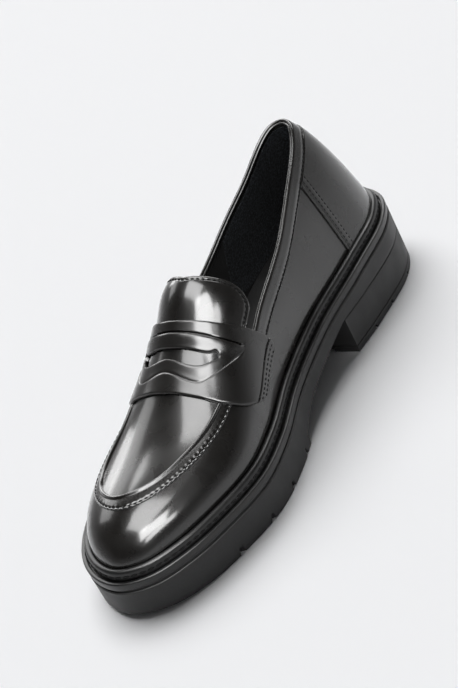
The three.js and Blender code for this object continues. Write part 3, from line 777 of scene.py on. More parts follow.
def tread_height(x, s, from_edge):
    """Underside of the sole: lugs at the forefoot, then the arch."""
    slant = TREAD_SLANT / SOLE_WIDTH
    start = TREAD_START + (SOLE_WIDTH / 2 - x) * slant
    on_tread = smooth_mask(s, start - TREAD_STEP, start + TREAD_STEP)
    field = s < SOLE_LENGTH - TOE_PLATE
    ring = groove_mask(np.abs(from_edge - EDGE_BAND - TREAD_GAP / 2), TREAD_GAP) * field
    front = groove_mask(np.abs(s - (SOLE_LENGTH - TOE_PLATE)), TREAD_GAP) * (from_edge > EDGE_BAND)
    middle = (from_edge > EDGE_BAND) & field
    crossing = np.zeros_like(x)
    for station in np.arange(TREAD_START - LUG_PITCH, SOLE_LENGTH, LUG_PITCH):
        for side in (-1, 1):
            gap = line_gap(x, s, 0, station, side * LUG_TURN, SOLE_WIDTH * 1.4)
            crossing = np.maximum(crossing, groove_mask(gap, TREAD_GAP) * GROOVE_DEPTH_SHARE)
    cut = np.maximum(np.maximum(ring, front), crossing * middle)
    first, last = TREAD_START + NOTCH_PITCH * 0.6, SOLE_LENGTH - TOE_PLATE * 0.6
    for side in (-1, 1):
        for station in np.arange(first, last, NOTCH_PITCH):
            edge_x, edge_s = edge_at(place_at(station, side))
            notch_x, notch_s = edge_x - side * EDGE_BAND * 0.4, edge_s - EDGE_BAND * 0.2
            gap = line_gap(x, s, notch_x, notch_s, side * NOTCH_TURN, EDGE_BAND * 1.5)
            cut = np.maximum(cut, groove_mask(gap, NOTCH) * GROOVE_DEPTH_SHARE)
    lugs = spring(s) + LUG_DEPTH * cut
    return lugs * on_tread + arch(s) * (1 - on_tread)


# Sections of the sole's parts: millimetres in from the edge, then the height. The outsole's foot counts up
# from the tread and its rim down from the slab's top, the heel's layers up from the ground.
OUTSOLE_FOOT = [(0.12, 0.1), (0.0, 0.45), (0.0, 2.0)]
OUTSOLE_RIM = [(-0.05, 1.95), (-0.08, 1.6), (0.0, 1.3), (0.2, 1.1), (0.5, 1.0), (0.95, 0.95), (1.0, 0.0)]
HEEL_BLOCK_LEVELS = [
    (0.3, TOP_PIECE + FIT), (0.05, TOP_PIECE + FIT + 0.25), (0, TOP_PIECE + FIT + 0.8),
    (0, HEEL_HEIGHT - 1.1), (0.1, HEEL_HEIGHT - FIT - 0.3), (0.3, HEEL_HEIGHT - FIT),
]
TOP_PIECE_LEVELS = [
    (0.6, 0), (0.15, 0.15), (0, 0.6), (0, TOP_PIECE - 0.7), (0.15, TOP_PIECE - 0.15), (0.6, TOP_PIECE),
]


def make_outsole():
    """The sole from the middle of its tread out to the edge, up the side and in under the lip."""
    places = SOLE_PLACES
    edge_x, edge_s = edge_at(places)
    end = rib_end(inset_edge(places, WELT_REACH)[1])
    loops = []
    for reach in np.linspace(0, 1, 58):
        reach = min(reach, 0.992)
        s = end + (edge_s - end) * reach
        x = spine(s) + (edge_x - spine(edge_s)) * reach
        loops.append(at(x, s, tread_height(x, s, np.hypot(x - edge_x, s - edge_s))))
    foot = tread_height(edge_x, edge_s, np.zeros_like(edge_x))
    slab_top = lip(edge_s) - LIP_BAND - FIT
    for inset, rise in OUTSOLE_FOOT:
        x, s = inset_edge(places, inset)
        loops.append(at(x, s, foot + rise))
    for share in np.linspace(0.2, 0.95, 6):
        x, s = inset_edge(places, 0.0)
        loops.append(at(x, s, foot + 2 + (slab_top - 1.9 - foot - 2) * share))
    for inset, drop in OUTSOLE_RIM:
        x, s = inset_edge(places, inset)
        loops.append(at(x, s, slab_top - drop))
    return soft_edges(loop_body("sole_unit", loops), 35)


dress(make_outsole(), rubber, "sole_rubber", "outsole")


def heel_outline(inset):
    """The heel's plan: the sole's edge round the back and a straight front."""
    count = 120
    inner = np.linspace(HEEL_PLACE, place_at(HEEL_LENGTH, 1), count)
    outer = np.linspace(place_at(HEEL_LENGTH, -1), HEEL_PLACE + 1, count)[:-1]
    x, s = inset_edge(np.concatenate([inner, outer]), inset)
    return np.stack([x, np.minimum(s, HEEL_LENGTH - inset)], -1)


def heel_layer(name, levels):
    """A layer of the heel through (inset, height) levels, closed flat at both ends."""
    rings = [heel_outline(inset) for inset, _ in levels]
    n = len(rings[0])
    heights = [height for _, height in levels]
    points = np.vstack([at(ring[:, 0], ring[:, 1], height) for ring, height in zip(rings, heights)])
    faces = []
    for k in range(len(levels) - 1):
        faces += ring_faces(k * n, (k + 1) * n, n)
    faces += [tuple(range(n)), tuple(range((len(levels) - 1) * n, len(levels) * n))]
    return new_object(name, points, faces)


block = heel_layer("heel_stack", HEEL_BLOCK_LEVELS)
dress(soft_edges(block, 35), rubber, "sole_rubber", "heel_block")


def cut_away(piece, cutters):
    """Cuts the cutters' shapes out of a piece and removes the cutters."""
    for cutter in cutters:
        modifier = piece.modifiers.new("cut", "BOOLEAN")
        modifier.operation = "DIFFERENCE"
        modifier.solver = "EXACT"
        modifier.object = cutter
    evaluated = piece.evaluated_get(bpy.context.evaluated_depsgraph_get())
    cut = bpy.data.meshes.new_from_object(evaluated)
    piece.modifiers.clear()
    piece.data = cut
    for cutter in cutters:
        bpy.data.objects.remove(cutter)
    return piece


def bar_cutter(x, s, angle, length, width, depth):
    """A bar that cuts a straight groove up to depth over the ground."""
    shape = bmesh.new()
    bmesh.ops.create_cube(shape, size=1)
    bmesh.ops.scale(shape, verts=shape.verts, vec=(length * MM, width * MM, depth * 2 * MM))
    bmesh.ops.rotate(shape, verts=shape.verts, matrix=Matrix.Rotation(angle, 3, "Z"))
    bmesh.ops.translate(shape, verts=shape.verts, vec=Vector(at(x, s, 0.0) * MM))
    return object_from(shape, "bar_cutter")


def object_from(shape, name):
    mesh = bpy.data.meshes.new(name)
    shape.to_mesh(mesh)
    shape.free()
    piece = bpy.data.objects.new(name, mesh)
    bpy.context.scene.collection.objects.link(piece)
    return piece


def pit_cutter(x, s, half_width, half_length, depth):
    """An oval post that cuts a pit up to depth over the ground."""
    shape = bmesh.new()
    bmesh.ops.create_cone(shape, cap_ends=True, segments=40, radius1=1, radius2=1, depth=depth * 2 * MM)
    bmesh.ops.scale(shape, verts=shape.verts, vec=(half_width * MM, half_length * MM, 1))
    bmesh.ops.translate(shape, verts=shape.verts, vec=Vector(at(x, s, 0.0) * MM))
    return object_from(shape, "pit_cutter")


# Cuts under the heel, with both their ends: millimetres to the inner side, millimetres behind the front
HEEL_CUTS = [
    ((16, 23.5), (40, 17)), ((16, 36.5), (40, 38.5)), ((16, 55), (40, 65)),
    ((-11, 23.8), (-40, 22.4)), ((-12, 40.7), (-40, 51)), ((-11, 60), (-40, 80)),
]
# Pits under the heel: millimetres to the inner side, millimetres behind the front, half the length
HEEL_PITS = [(2.5, 16, 7), (2.5, 40.7, 7), (3.5, 60.5, 5.5)]


def make_top_piece():
    piece = heel_layer("heel_tread", TOP_PIECE_LEVELS)
    cutters = [bar_cutter(16, HEEL_LENGTH - 27, math.pi / 2, 57, 4, HEEL_TREAD)]
    for (x0, back0), (x1, back1) in HEEL_CUTS:
        s0, s1 = HEEL_LENGTH - back0, HEEL_LENGTH - back1
        angle = math.atan2(s0 - s1, x1 - x0)
        length = math.hypot(x1 - x0, s1 - s0)
        cutters.append(bar_cutter((x0 + x1) / 2, (s0 + s1) / 2, angle, length, HEEL_SLOT, HEEL_TREAD))
    for x, back, half_length in HEEL_PITS:
        cutters.append(pit_cutter(x, HEEL_LENGTH - back, HEEL_PIT_HALF_WIDTH, half_length, HEEL_TREAD))
    return soft_edges(cut_away(piece, cutters), 35)


dress(make_top_piece(), rubber, "sole_rubber", "heel_top_piece")


# Section of the lip: millimetres in from the edge, millimetres over the lip's top
LIP_TURNS = np.linspace(0, math.pi / 2, 5)
LIP_ARC = [(LIP_ROUND * (1 - math.cos(a)), -LIP_ROUND * (1 - math.sin(a))) for a in LIP_TURNS]
MIDSOLE_LEVELS = [
    (1.2, -LIP_BAND), (0.5, -LIP_BAND + 0.05), (0.12, -LIP_BAND + 0.3), (0, -LIP_BAND + 0.8),
    (0, -2.0), (0, -1.4), *LIP_ARC, (FLANGE - 0.45, 0), (FLANGE - 0.2, -0.08),
    (FLANGE - 0.05, -0.35), (FLANGE, -CHANNEL + 0.2), (FLANGE + 0.15, -CHANNEL),
    (BEAD_START + 1.0, -CHANNEL), (WELT_REACH + 3, -CHANNEL),
]


def make_midsole():
    return loop_body("lip_band", [sole_loop(inset, over(lip, rise)) for inset, rise in MIDSOLE_LEVELS])


dress(soft_edges(make_midsole(), 50), lip_rubber, "lip_rubber", "midsole")


def make_welt():
    """The bead round the upper, over its round top; a level without a height lies on the seat."""
    inner = WELT_REACH - FIT
    outer = BEAD_START + 0.35
    foot = BEAD_HEIGHT - 2.6
    levels = [(BEAD_START, None), (BEAD_START, 0.2), (BEAD_START + 0.25, 1.2), (outer, foot)]
    for a in np.linspace(0, math.pi, 15)[1:-1]:
        across = outer + (inner - BEAD_START - 0.35) * (1 - math.cos(a)) / 2
        fullness = 0.75 if a < math.pi / 2 else 0.4
        levels.append((across, foot + (BEAD_HEIGHT - foot) * math.sin(a) ** fullness))
    levels += [(inner, foot), (inner, None)]
    loops = [sole_loop(inset, seat if rise is None else over(lip, rise)) for inset, rise in levels]
    return loop_body("welt_bead", loops, ring=True)


dress(soft_edges(make_welt(), 60), lip_rubber, "lip_rubber", "welt")

channel_line = sole_loop(BEAD_START + 0.1, over(lip, 1.5))
stitch_rows("welt_stitches", [channel_line], WELT_SEAM, "lip_rubber", closed=True)

# Upper
RIBS = facing_places(260, WELT_REACH)
CLIMBS = np.radians(np.linspace(0, 90, 361))


def edge_climb(places):
    """How far each rib climbs before the collar; past the throat the climb stays as it is there."""
    grid = upper_point(places[:, None], CLIMBS[None, :])
    stations = SOLE_LENGTH / 2 - grid[..., 1]
    past_edge = grid[..., 2] - collar_height(stations)
    climbs = np.empty(len(places))
    for i, row in enumerate(past_edge):
        above = np.nonzero(row > 0)[0]
        k = above[0] if len(above) else len(row) - 1
        climbs[i] = np.interp(0, [row[k - 1], row[k]], [CLIMBS[k - 1], CLIMBS[k]])
    open_rib = inset_edge(places, WELT_REACH)[1] < THROAT
    limit = max(climbs[open_rib & (inset_edge(places, WELT_REACH)[1] > THROAT - 4)].mean(), 0.4)
    return np.where(open_rib, climbs, limit), open_rib


def make_upper():
    """The upper's wall, open between collar and throat and closed over the toes."""
    top, open_rib = edge_climb(RIBS)
    low = 1 - (1 - np.linspace(0, 1, 46)) ** 1.6
    lower = top[:, None] * low[None, :]
    upper = top[:, None] + (math.pi / 2 - top[:, None]) * np.linspace(0, 1, 45)[None, 1:]
    climb = np.hstack([lower, upper])
    t = np.broadcast_to(RIBS[:, None], climb.shape)
    surface = upper_point(t, climb)
    edge = upper_point(RIBS, top)
    gap = np.linalg.norm(surface - edge[:, None], axis=-1)
    gap = np.where(open_rib[:, None], gap, FAR)
    drop = rounded(gap, LEATHER_ROUND)
    outer = upper_at(t, climb, -drop)
    inner = upper_at(t, climb, -UPPER_WALL + drop)
    n = len(RIBS)
    for grid in (outer, inner):
        ridge_line = grid[:, -1].copy()
        grid[:, -1] = (ridge_line + ridge_line[(n - np.arange(n)) % n]) / 2
    foot_height = seat(SOLE_LENGTH / 2 - outer[:, :1, 1])
    foot_outer, foot_inner = outer[:, :1].copy(), inner[:, :1].copy()
    foot_outer[..., 2] = foot_height
    foot_inner[..., 2] = foot_height
    outer = np.concatenate([foot_outer, outer], 1)
    inner = np.concatenate([foot_inner, inner], 1)
    kept = np.ones((n, outer.shape[1] - 1), bool)
    closed_pair = ~open_rib & ~np.roll(open_rib, -1)
    kept[:, len(low):] = closed_pair[:, None]
    return sheet_body("leather_upper", outer, inner, kept, wrap=True)


upper = dress(soft_edges(make_upper(), 60), polished, "upper_leather", "upper")


def make_insole():
    edge = WELT_REACH + UPPER_WALL + FIT * 2
    levels = [(edge, 0), (edge, INSOLE - 0.7), (edge + 0.3, INSOLE - 0.15), (edge + 0.9, INSOLE)]
    return loop_body("sock_insole", [sole_loop(inset, over(seat, rise)) for inset, rise in levels])


dress(soft_edges(make_insole(), 50), lining_leather, "lining", "insole")


# Tongue
def tongue_flare(angle, s):
    """How far the tongue's free corners stand off the last."""
    from_ridge = np.abs(angle - 90)
    free = 1 - smooth_mask(s, *TONGUE_FREE)
    return TONGUE_FLARE * smooth_mask(from_ridge, 0, TONGUE_CORNER) * free


def make_tongue():
    edge = edge_line(TONGUE_EDGE)
    line = flowing_curve(TONGUE_EDGE, 110)
    side = np.concatenate([[TONGUE_START], line[line[:, 0] > TONGUE_START + 0.1][:, 0]])
    angles = np.concatenate([side, 180 - side[-2::-1]])
    shares = np.concatenate([np.linspace(0, 0.14, 13)[:-1], np.linspace(0.14, 1, 24)])
    folded = np.where(angles <= 90, angles, 180 - angles)
    start = np.minimum(edge(folded), THROAT - 3)
    s = start[:, None] + (THROAT - FIT - start[:, None]) * shares[None, :]
    t, climb = across_at(angles[:, None], s)
    surface = upper_point(t, climb)
    border = np.vstack([surface[0], surface[-1], surface[:, 0]])
    gap = border_gap(surface, border)
    seam = SEAM_DEPTH * (1 - smooth_mask(np.abs(gap - TONGUE_SEAM_INSET), 0.2, 0.8))
    drop = rounded(gap, LEATHER_ROUND)
    flare = tongue_flare(angles[:, None], s)
    outer = upper_at(t, climb, flare + 0.1 - drop - seam)
    inner = upper_at(t, climb, flare - UPPER_WALL + drop)
    return sheet_body("tongue_flap", outer, inner)


dress(soft_edges(make_tongue(), 60), polished, "overlay_leather", "tongue")


def surface_line(line, lift):
    """A line of (angle, station) laid on the upper, lift above it."""
    t, climb = across_at(line[:, 0], line[:, 1])
    return upper_at(t, climb, lift)


tongue_row = shifted(TONGUE_EDGE, TONGUE_SEAM_INSET)
tongue_row = tongue_row[(tongue_row[:, 1] < TONGUE_FREE[1]) & (tongue_row[:, 0] < 90)]
tongue_row = np.vstack([tongue_row, tongue_row[::-1] * [-1, 1] + [180, 0]])
tongue_lift = tongue_flare(tongue_row[:, 0], tongue_row[:, 1]) - 0.02
tongue_line = surface_line(tongue_row, tongue_lift)
stitch_rows("tongue_stitches", [tongue_line], TONGUE_SEAM, "overlay_leather")


# Strap
def band_levels(edges, counts):
    """Stations down each column, spaced close at every edge between bands."""
    parts = [edges[:, :1]]
    for k, count in enumerate(counts):
        start, end = edges[:, k:k + 1], edges[:, k + 1:k + 2]
        parts.append(start + (end - start) * eased(count)[None, 1:])
    return np.hstack(parts)


def strap_columns():
    """Degrees up the rib, closer together round the strap's corners."""
    front, back = flowing_curve(STRAP_FRONT[:6], 46)[:, 0], flowing_curve(STRAP_BACK[:7], 40)[:, 0]
    columns = np.clip(np.concatenate([front, back, np.linspace(27, 90, 130)]), STRAP_END, 90)
    columns = np.unique(np.round(columns, 2))
    return columns[np.concatenate([[True], np.diff(columns) > 0.035])]


def make_strap():
    """The strap from tab to tab, with the slit and crease of its leaf and the opening in the middle."""
    side = strap_columns()
    near = side * STRAP_CENTRE / 90
    far = 180 - side * (180 - STRAP_CENTRE) / 90
    angles = np.concatenate([near, far[-2::-1]])
    folded = np.concatenate([side, side[-2::-1]])
    in_leaf = folded > LEAF_START
    back, front = edge_line(STRAP_BACK)(folded), edge_line(STRAP_FRONT)(folded)
    slit = np.where(in_leaf, edge_line(SLIT)(folded), back + (front - back) * 0.45)
    crease = np.where(in_leaf, edge_line(CREASE)(folded), slit + 0.8)
    hole = folded > OPENING_START
    hole_back = np.where(hole, edge_line(OPENING_BACK)(folded), (slit + crease) / 2)
    hole_front = np.where(hole, edge_line(OPENING_FRONT)(folded), (slit + crease) / 2)
    edges = np.stack([back, slit, hole_back, hole_front, crease, front], 1)
    for k in range(1, 6):
        edges[:, k] = np.maximum(edges[:, k], edges[:, k - 1] + 0.15)
    for k in range(4, -1, -1):
        edges[:, k] = np.minimum(edges[:, k], edges[:, k + 1] - 0.15)
    counts = (18, 14, 4, 12, 18)
    s = band_levels(edges, counts)
    t, climb = across_at(angles[:, None], s)
    surface = upper_point(t, climb)
    starts = np.concatenate([[0], np.cumsum(counts)])
    hole_edges = [surface[hole, starts[2]], surface[hole, starts[3]]]
    border = np.vstack([surface[:, 0], surface[:, -1], surface[0], surface[-1], *hole_edges])
    drop = rounded(border_gap(surface, border), STRAP_ROUND)
    leaf = smooth_mask(folded, LEAF_START, LEAF_START + 4)[:, None]
    from_slit = s - edges[:, 1:2]
    raised = SLIT_LIP * smooth_mask(from_slit, 0.0, 0.8) * (1 - smooth_mask(from_slit, 1.5, 6)) * leaf
    cut = SLIT_DEPTH * (1 - smooth_mask(np.abs(from_slit), 0.12, 0.42)) * leaf
    from_crease = s - edges[:, 4:5]
    sunk = CREASE_SINK * smooth_mask(-from_crease, -0.5, 0.5)
    sunk = sunk * (1 - smooth_mask(-from_crease, 1, 7)) * leaf
    line = CREASE_LINE * (1 - smooth_mask(np.abs(from_crease), 0.1, 0.6)) * leaf
    tab = TAB_GROOVE * (1 - smooth_mask(np.abs(folded - TAB_SEAM), 0.12, 0.6))[:, None]
    outer = upper_at(t, climb, FIT + STRAP - drop + raised - cut - sunk - line - tab)
    inner = upper_at(t, climb, FIT + np.minimum(drop, 0.5))
    kept = np.ones((len(angles) - 1, s.shape[1] - 1), bool)
    pair = hole[:-1] & hole[1:]
    kept[np.ix_(np.nonzero(pair)[0], np.arange(starts[2], starts[3]))] = False
    return sheet_body("penny_strap", outer, inner, kept)


dress(soft_edges(make_strap(), 60), strap_leather, "overlay_leather", "strap")

strap_rows = []
for degrees, s_back, s_front in TAB_ROWS:
    row = np.stack([np.full(40, degrees), np.linspace(s_back, s_front, 40)], -1)
    strap_rows += [surface_line(row, FIT + STRAP), surface_line(row * [-1, 1] + [180, 0], FIT + STRAP)]
stitch_rows("strap_stitches", strap_rows, STRAP_SEAM, "overlay_leather")


# Collar band and counter
def climb_below(places, depth):
    """The climb at which each rib lies depth below the collar's edge."""
    grid = upper_point(places[:, None], CLIMBS[None, :])
    under = collar_height(SOLE_LENGTH / 2 - grid[..., 1]) - grid[..., 2]
    climbs = np.empty(len(places))
    for i, row in enumerate(under):
        above = np.nonzero(row < 0)[0]
        last = above[0] if len(above) else len(row) - 1
        climbs[i] = np.interp(-depth, -row[:last + 1], CLIMBS[:last + 1])
    return climbs


def collar_places(count, s_end):
    """Places round the heel between the stations s_end on both sides."""
    near, far = place_at(s_end, 1, WELT_REACH), place_at(s_end, -1, WELT_REACH)
    return np.linspace(far - 1, near, count)


# Section of the collar's binding: millimetres below the upper's edge, millimetres out from its face
BINDING = [
    (8.0, 0.03), (7.9, 0.35), (7.6, 0.6), (7.25, 0.72), (7.0, 0.5), (6.5, 0.45), (6.1, 0.72),
    (4.0, 0.74), (1.5, 0.75), (0.4, 0.8), (-0.2, 0.72), (-0.65, 0.45), (-0.85, 0.05), (-0.8, -0.4),
    (-0.5, -0.75), (-0.1, -0.95), (-0.5, -1.2), (-0.75, -1.6), (-0.6, -2.05), (-0.1, -2.35),
    (1.2, -2.45), (2.6, -2.4), (3.0, -1.9),
]


def make_collar_band():
    places = collar_places(430, COLLAR_BAND_END)
    depth = np.array([max(row[0], 0) for row in BINDING])
    rise = np.array([max(-row[0], 0) for row in BINDING])
    out = np.array([row[1] for row in BINDING])
    climb = np.stack([climb_below(places, d) for d in depth], 1)
    top = climb_below(places, 0.0)
    upward = unit(upper_point(places, top + 0.01) - upper_point(places, top))
    t = np.broadcast_to(places[:, None], climb.shape)
    grid = upper_at(t, climb, np.broadcast_to(out, climb.shape))
    grid = grid + upward[:, None] * rise[None, :, None]
    return tube_body("collar_binding", grid)


dress(soft_edges(make_collar_band(), 60), polished, "overlay_leather", "collar_band")

collar_turns = collar_places(400, COLLAR_STITCH_END)
collar_climbs = climb_below(collar_turns, COLLAR_DEPTH - COLLAR_SEAM_INSET)
collar_row = upper_at(collar_turns, collar_climbs, 0.55)
stitch_rows("collar_stitches", [collar_row], COLLAR_SEAM, "overlay_leather")


def heel_grid(station, top_depth, foot, levels, shares):
    """Places and climbs of a sheet round the heel, up to a station that may change with the level."""
    t = np.empty((len(shares), levels))
    climb = np.empty_like(t)
    dense = collar_places(500, HEEL_SHEET_REACH)
    top = climb_below(dense, top_depth)
    for k, level in enumerate(np.linspace(0, 1, levels)):
        line = foot + (top - foot) * level
        stations = SOLE_LENGTH / 2 - upper_point(dense, line)[:, 1]
        middle = int(np.argmin(stations))
        near = np.interp(station(level), stations[middle:], dense[middle:])
        far = np.interp(station(level), stations[:middle + 1][::-1], dense[:middle + 1][::-1])
        t[:, k] = far + (near - far) * shares
        climb[:, k] = np.interp(t[:, k], dense, line)
    return t, climb


def make_counter():
    """The counter round the heel, with a groove and a soft seam along both its ends."""
    first, last = np.linspace(0, 0.045, 32)[:-1], np.linspace(0.955, 1, 32)[1:]
    shares = np.concatenate([first, np.linspace(0.045, 0.955, 90), last])
    t, climb = heel_grid(
        lambda level: COUNTER_LENGTH, COLLAR_DEPTH - COUNTER_TUCK, math.radians(COUNTER_FOOT), 40, shares)
    surface = upper_point(t, climb)
    gap = np.minimum(
        np.linalg.norm(surface - surface[:1], axis=-1), np.linalg.norm(surface - surface[-1:], axis=-1))
    seam = 0.12 * (1 - smooth_mask(np.abs(gap - 3.8), 0.5, 2.0))
    crease = COUNTER_GROOVE * (1 - smooth_mask(np.abs(gap - 1.5), 0.1, 0.5))
    lift = FIT + COUNTER - COUNTER_SET - rounded(gap, 0.7) + seam - crease
    outer = upper_at(t, climb, np.maximum(lift, 0.05))
    inner = upper_at(t, climb, 0.02)
    return sheet_body("heel_counter", outer, inner)


dress(soft_edges(make_counter(), 60), polished, "overlay_leather", "counter")

counter_rows = []
both_ends = np.array([0.0, 1.0])
stitch_foot = math.radians(COUNTER_STITCH_FOOT)
for inset in COUNTER_SEAM_INSETS:
    t, climb = heel_grid(
        lambda level: COUNTER_LENGTH - inset, COLLAR_DEPTH + COUNTER_TUCK, stitch_foot, 40, both_ends)
    counter_rows += [upper_at(t[end], climb[end], FIT + COUNTER - 0.25) for end in (0, -1)]
stitch_rows("counter_stitches", counter_rows, COUNTER_SEAM, "overlay_leather")


def make_heel_grip():
    """The suede inside the heel, which keeps the foot from slipping out."""
    shares = np.linspace(0, 1, 120)
    t, climb = heel_grid(
        lambda level: GRIP_FRONT - GRIP_LEAN * level, GRIP_DROP, math.radians(GRIP_FOOT), 40, shares)
    outer, inner = (upper_at(t, climb, -UPPER_WALL - depth) for depth in HEEL_GRIP_DEPTHS)
    return sheet_body("suede_heel_grip", outer, inner)


dress(soft_edges(make_heel_grip(), 60), suede, "lining")


def make_lining():
    """The black lining inside the upper, from the insole to the collar and over the toes."""
    top, open_rib = edge_climb(RIBS)
    levels = np.linspace(0.06, 0.97, 30)
    climb = np.where(open_rib, top, math.pi / 2)[:, None] * levels[None, :]
    t = np.broadcast_to(RIBS[:, None], climb.shape)
    outer, inner = (upper_at(t, climb, -UPPER_WALL - depth) for depth in LINING_DEPTHS)
    kept = np.ones((len(RIBS), len(levels) - 1), bool)
    kept[open_rib != np.roll(open_rib, -1)] = False
    return sheet_body("leather_lining", outer, inner, kept, wrap=True)


dress(soft_edges(make_lining(), 60), lining_leather, "lining")

# Apron: its plug and the seam band round it, on a smoothed plan of the upper's top
PLAN_STEP = 0.8
PLAN_X = np.arange(-44, 44.01, PLAN_STEP)
PLAN_S = np.arange(176, 268.01, PLAN_STEP)


def plan_heights():
    """Heights of the upper's outer face over the forefoot, evened out a little."""
    tree = BVHTree.FromObject(upper, bpy.context.evaluated_depsgraph_get())
    heights = np.empty((len(PLAN_X), len(PLAN_S)))
    for i, x in enumerate(PLAN_X):
        for k, s in enumerate(PLAN_S):
            hit = tree.ray_cast(Vector(at(x, s, 300.0) * MM), Vector((0, 0, -1)))[0]
            heights[i, k] = hit.z / MM if hit else FOREFOOT_LIP
    for _ in range(8):
        heights[1:-1] = (heights[:-2] + 2 * heights[1:-1] + heights[2:]) / 4
        heights[:, 1:-1] = (heights[:, :-2] + 2 * heights[:, 1:-1] + heights[:, 2:]) / 4
    return heights


PLAN_Z = plan_heights()


def plan_value(field, x, s):
    i = np.clip((x - PLAN_X[0]) / PLAN_STEP, 0, len(PLAN_X) - 1.001)
    k = np.clip((s - PLAN_S[0]) / PLAN_STEP, 0, len(PLAN_S) - 1.001)
    a, b = i.astype(int), k.astype(int)
    u, v = i - a, k - b
    low = field[a, b] * (1 - v) + field[a, b + 1] * v
    high = field[a + 1, b] * (1 - v) + field[a + 1, b + 1] * v
    return low * (1 - u) + high * u


SLOPE_X, SLOPE_S = np.gradient(PLAN_Z, PLAN_STEP)


def on_plan(x, s):
    """Points of the smoothed top above plan places, and the face's normals there."""
    normal = np.stack([-plan_value(SLOPE_X, x, s), plan_value(SLOPE_S, x, s), np.ones_like(x)], -1)
    return at(x, s, plan_value(PLAN_Z, x, s)), unit(normal)


def plan_curve(rows, count):
    points = [(across * SOLE_WIDTH / 2, along * SOLE_LENGTH) for along, across in rows]
    return flowing_curve(points, count)


def make_apron_band():
    """The raised seam with its puckers, and the line that its stitches follow."""
    count = 640
    inner_edge, outer_edge = plan_curve(APRON_INNER, count), plan_curve(APRON_OUTER, count)
    shares = eased(26)
    plan = inner_edge[:, None] + (outer_edge - inner_edge)[:, None] * shares[None, :, None]
    surface, normal = on_plan(plan[..., 0], plan[..., 1])
    width = np.linalg.norm(surface[:, -1] - surface[:, 0], axis=-1)[:, None]
    from_inner, from_outer = shares[None, :] * width, (1 - shares[None, :]) * width
    steps = np.linalg.norm(np.diff(surface[:, -1], axis=0), axis=-1)
    along = np.concatenate([[0], np.cumsum(steps)])
    pucker = PUCKER * np.cos(2 * np.pi * along / APRON_SEAM[0])[:, None]
    pucker = pucker * (1 - smooth_mask(from_outer, 0.6, 3.2))
    roll = APRON_RISE - rounded(from_inner, LEATHER_ROUND) - APRON_STEP * smooth_mask(from_inner, 1.2, 2.2)
    seam = APRON_SEAM_DEPTH * (1 - smooth_mask(np.abs(from_outer - APRON_SEAM_INSET), 0.15, 0.7))
    height = roll - seam + pucker - rounded(from_outer, 0.5)
    outer = surface + normal * np.maximum(height, 0.03)[..., None]
    inner = surface - normal * UNDERLAP
    row = np.empty((count, 3))
    for i in range(count):
        for axis in range(3):
            row[i, axis] = np.interp(width[i, 0] - APRON_SEAM_INSET, from_inner[i], outer[i, :, axis])
    return sheet_body("apron_seam", outer, inner), row + normal[:, -3] * 0.1


def make_plug():
    """The leather inside the apron's seam, in rows across the shoe; its edge lies under the band."""
    inner_edge, outer_edge = plan_curve(APRON_INNER, 420), plan_curve(APRON_OUTER, 420)
    border = inner_edge + (outer_edge - inner_edge) * 0.25
    tip = int(np.argmax(border[:, 1]))
    first, second = border[:tip + 1], border[tip:][::-1]
    start = max(first[0, 1], second[0, 1])
    stations = start + (border[tip, 1] - start) * np.sin(np.linspace(0, np.pi / 2 * 0.97, 90))
    one = np.interp(stations, first[:, 1], first[:, 0])
    other = np.interp(stations, second[:, 1], second[:, 0])
    across = one[:, None] + (other - one)[:, None] * np.linspace(0, 1, 56)[None, :]
    surface, normal = on_plan(across, np.broadcast_to(stations[:, None], across.shape))
    return sheet_body("vamp_plug", surface + normal * PLUG_RISE, surface - normal * UNDERLAP)


dress(soft_edges(make_plug(), 60), polished, "upper_leather")
apron, apron_row = make_apron_band()
dress(soft_edges(apron, 60), polished, "overlay_leather", "apron_band")
stitch_rows("apron_stitches", [apron_row], APRON_SEAM, "overlay_leather")

# Camera, light and floor
CAMERA_PLACE = Vector((0.5806, -0.5745, 0.5309))
CAMERA_AIM = Vector((0.0, 0.0, 0.046))
CAMERA_RIGHT = Vector((0.808, 0.4414, -0.3903))
SENSOR = 24
FOCAL_SHARE = 1500 / 688
ZOOM = 1.3
LIGHT_AIM = Vector((0, -0.03, 0.05))
# Light boxes: name, direction from the aim, distance, size, power
LIGHT_BOXES = [
    ("overhead_box", (0.40, -0.40, 0.82), 1.25, (0.75, 0.45), 16),
    ("top_box", (-0.02, -0.16, 0.98), 1.4, (0.9, 0.85), 20),
    ("camera_side_box", (0.66, -0.42, 0.62), 1.3, (0.8, 0.26), 8),
    ("back_box", (-0.22, 0.60, 0.70), 1.5, (1.8, 0.4), 15),
    ("rear_box", (-0.62, 0.62, 0.34), 1.6, (1.6, 0.4), 9),
    ("far_side_box", (-0.84, 0.18, 0.50), 1.6, (0.8, 0.45), 2.5),
]
# The floor's light: direction, strength, width in degrees
FLOOR_LIGHT = ((-0.35, 0.30, 0.88), 3.1, 55)
# Reflected surroundings: height from the horizon up, red and green, blue
SKY = [(0.0, 0.42, 0.42), (0.12, 0.28, 0.2856), (0.40, 0.06, 0.0612), (1.0, 0.02, 0.02)]
BACKDROP = (0.87, 0.88, 0.9, 1)
FLOOR_COLOUR = (0.88, 0.885, 0.9, 1)
# How the floor darkens in reflections: its dark colour, the metres from the shoe's middle where the change
# begins and ends, and the dark colour's greatest share
FLOOR_DARK = (0.02, 0.02, 0.02, 1)
FLOOR_FADE = (0.16, 0.75)
FLOOR_FADE_SHARE = 0.45


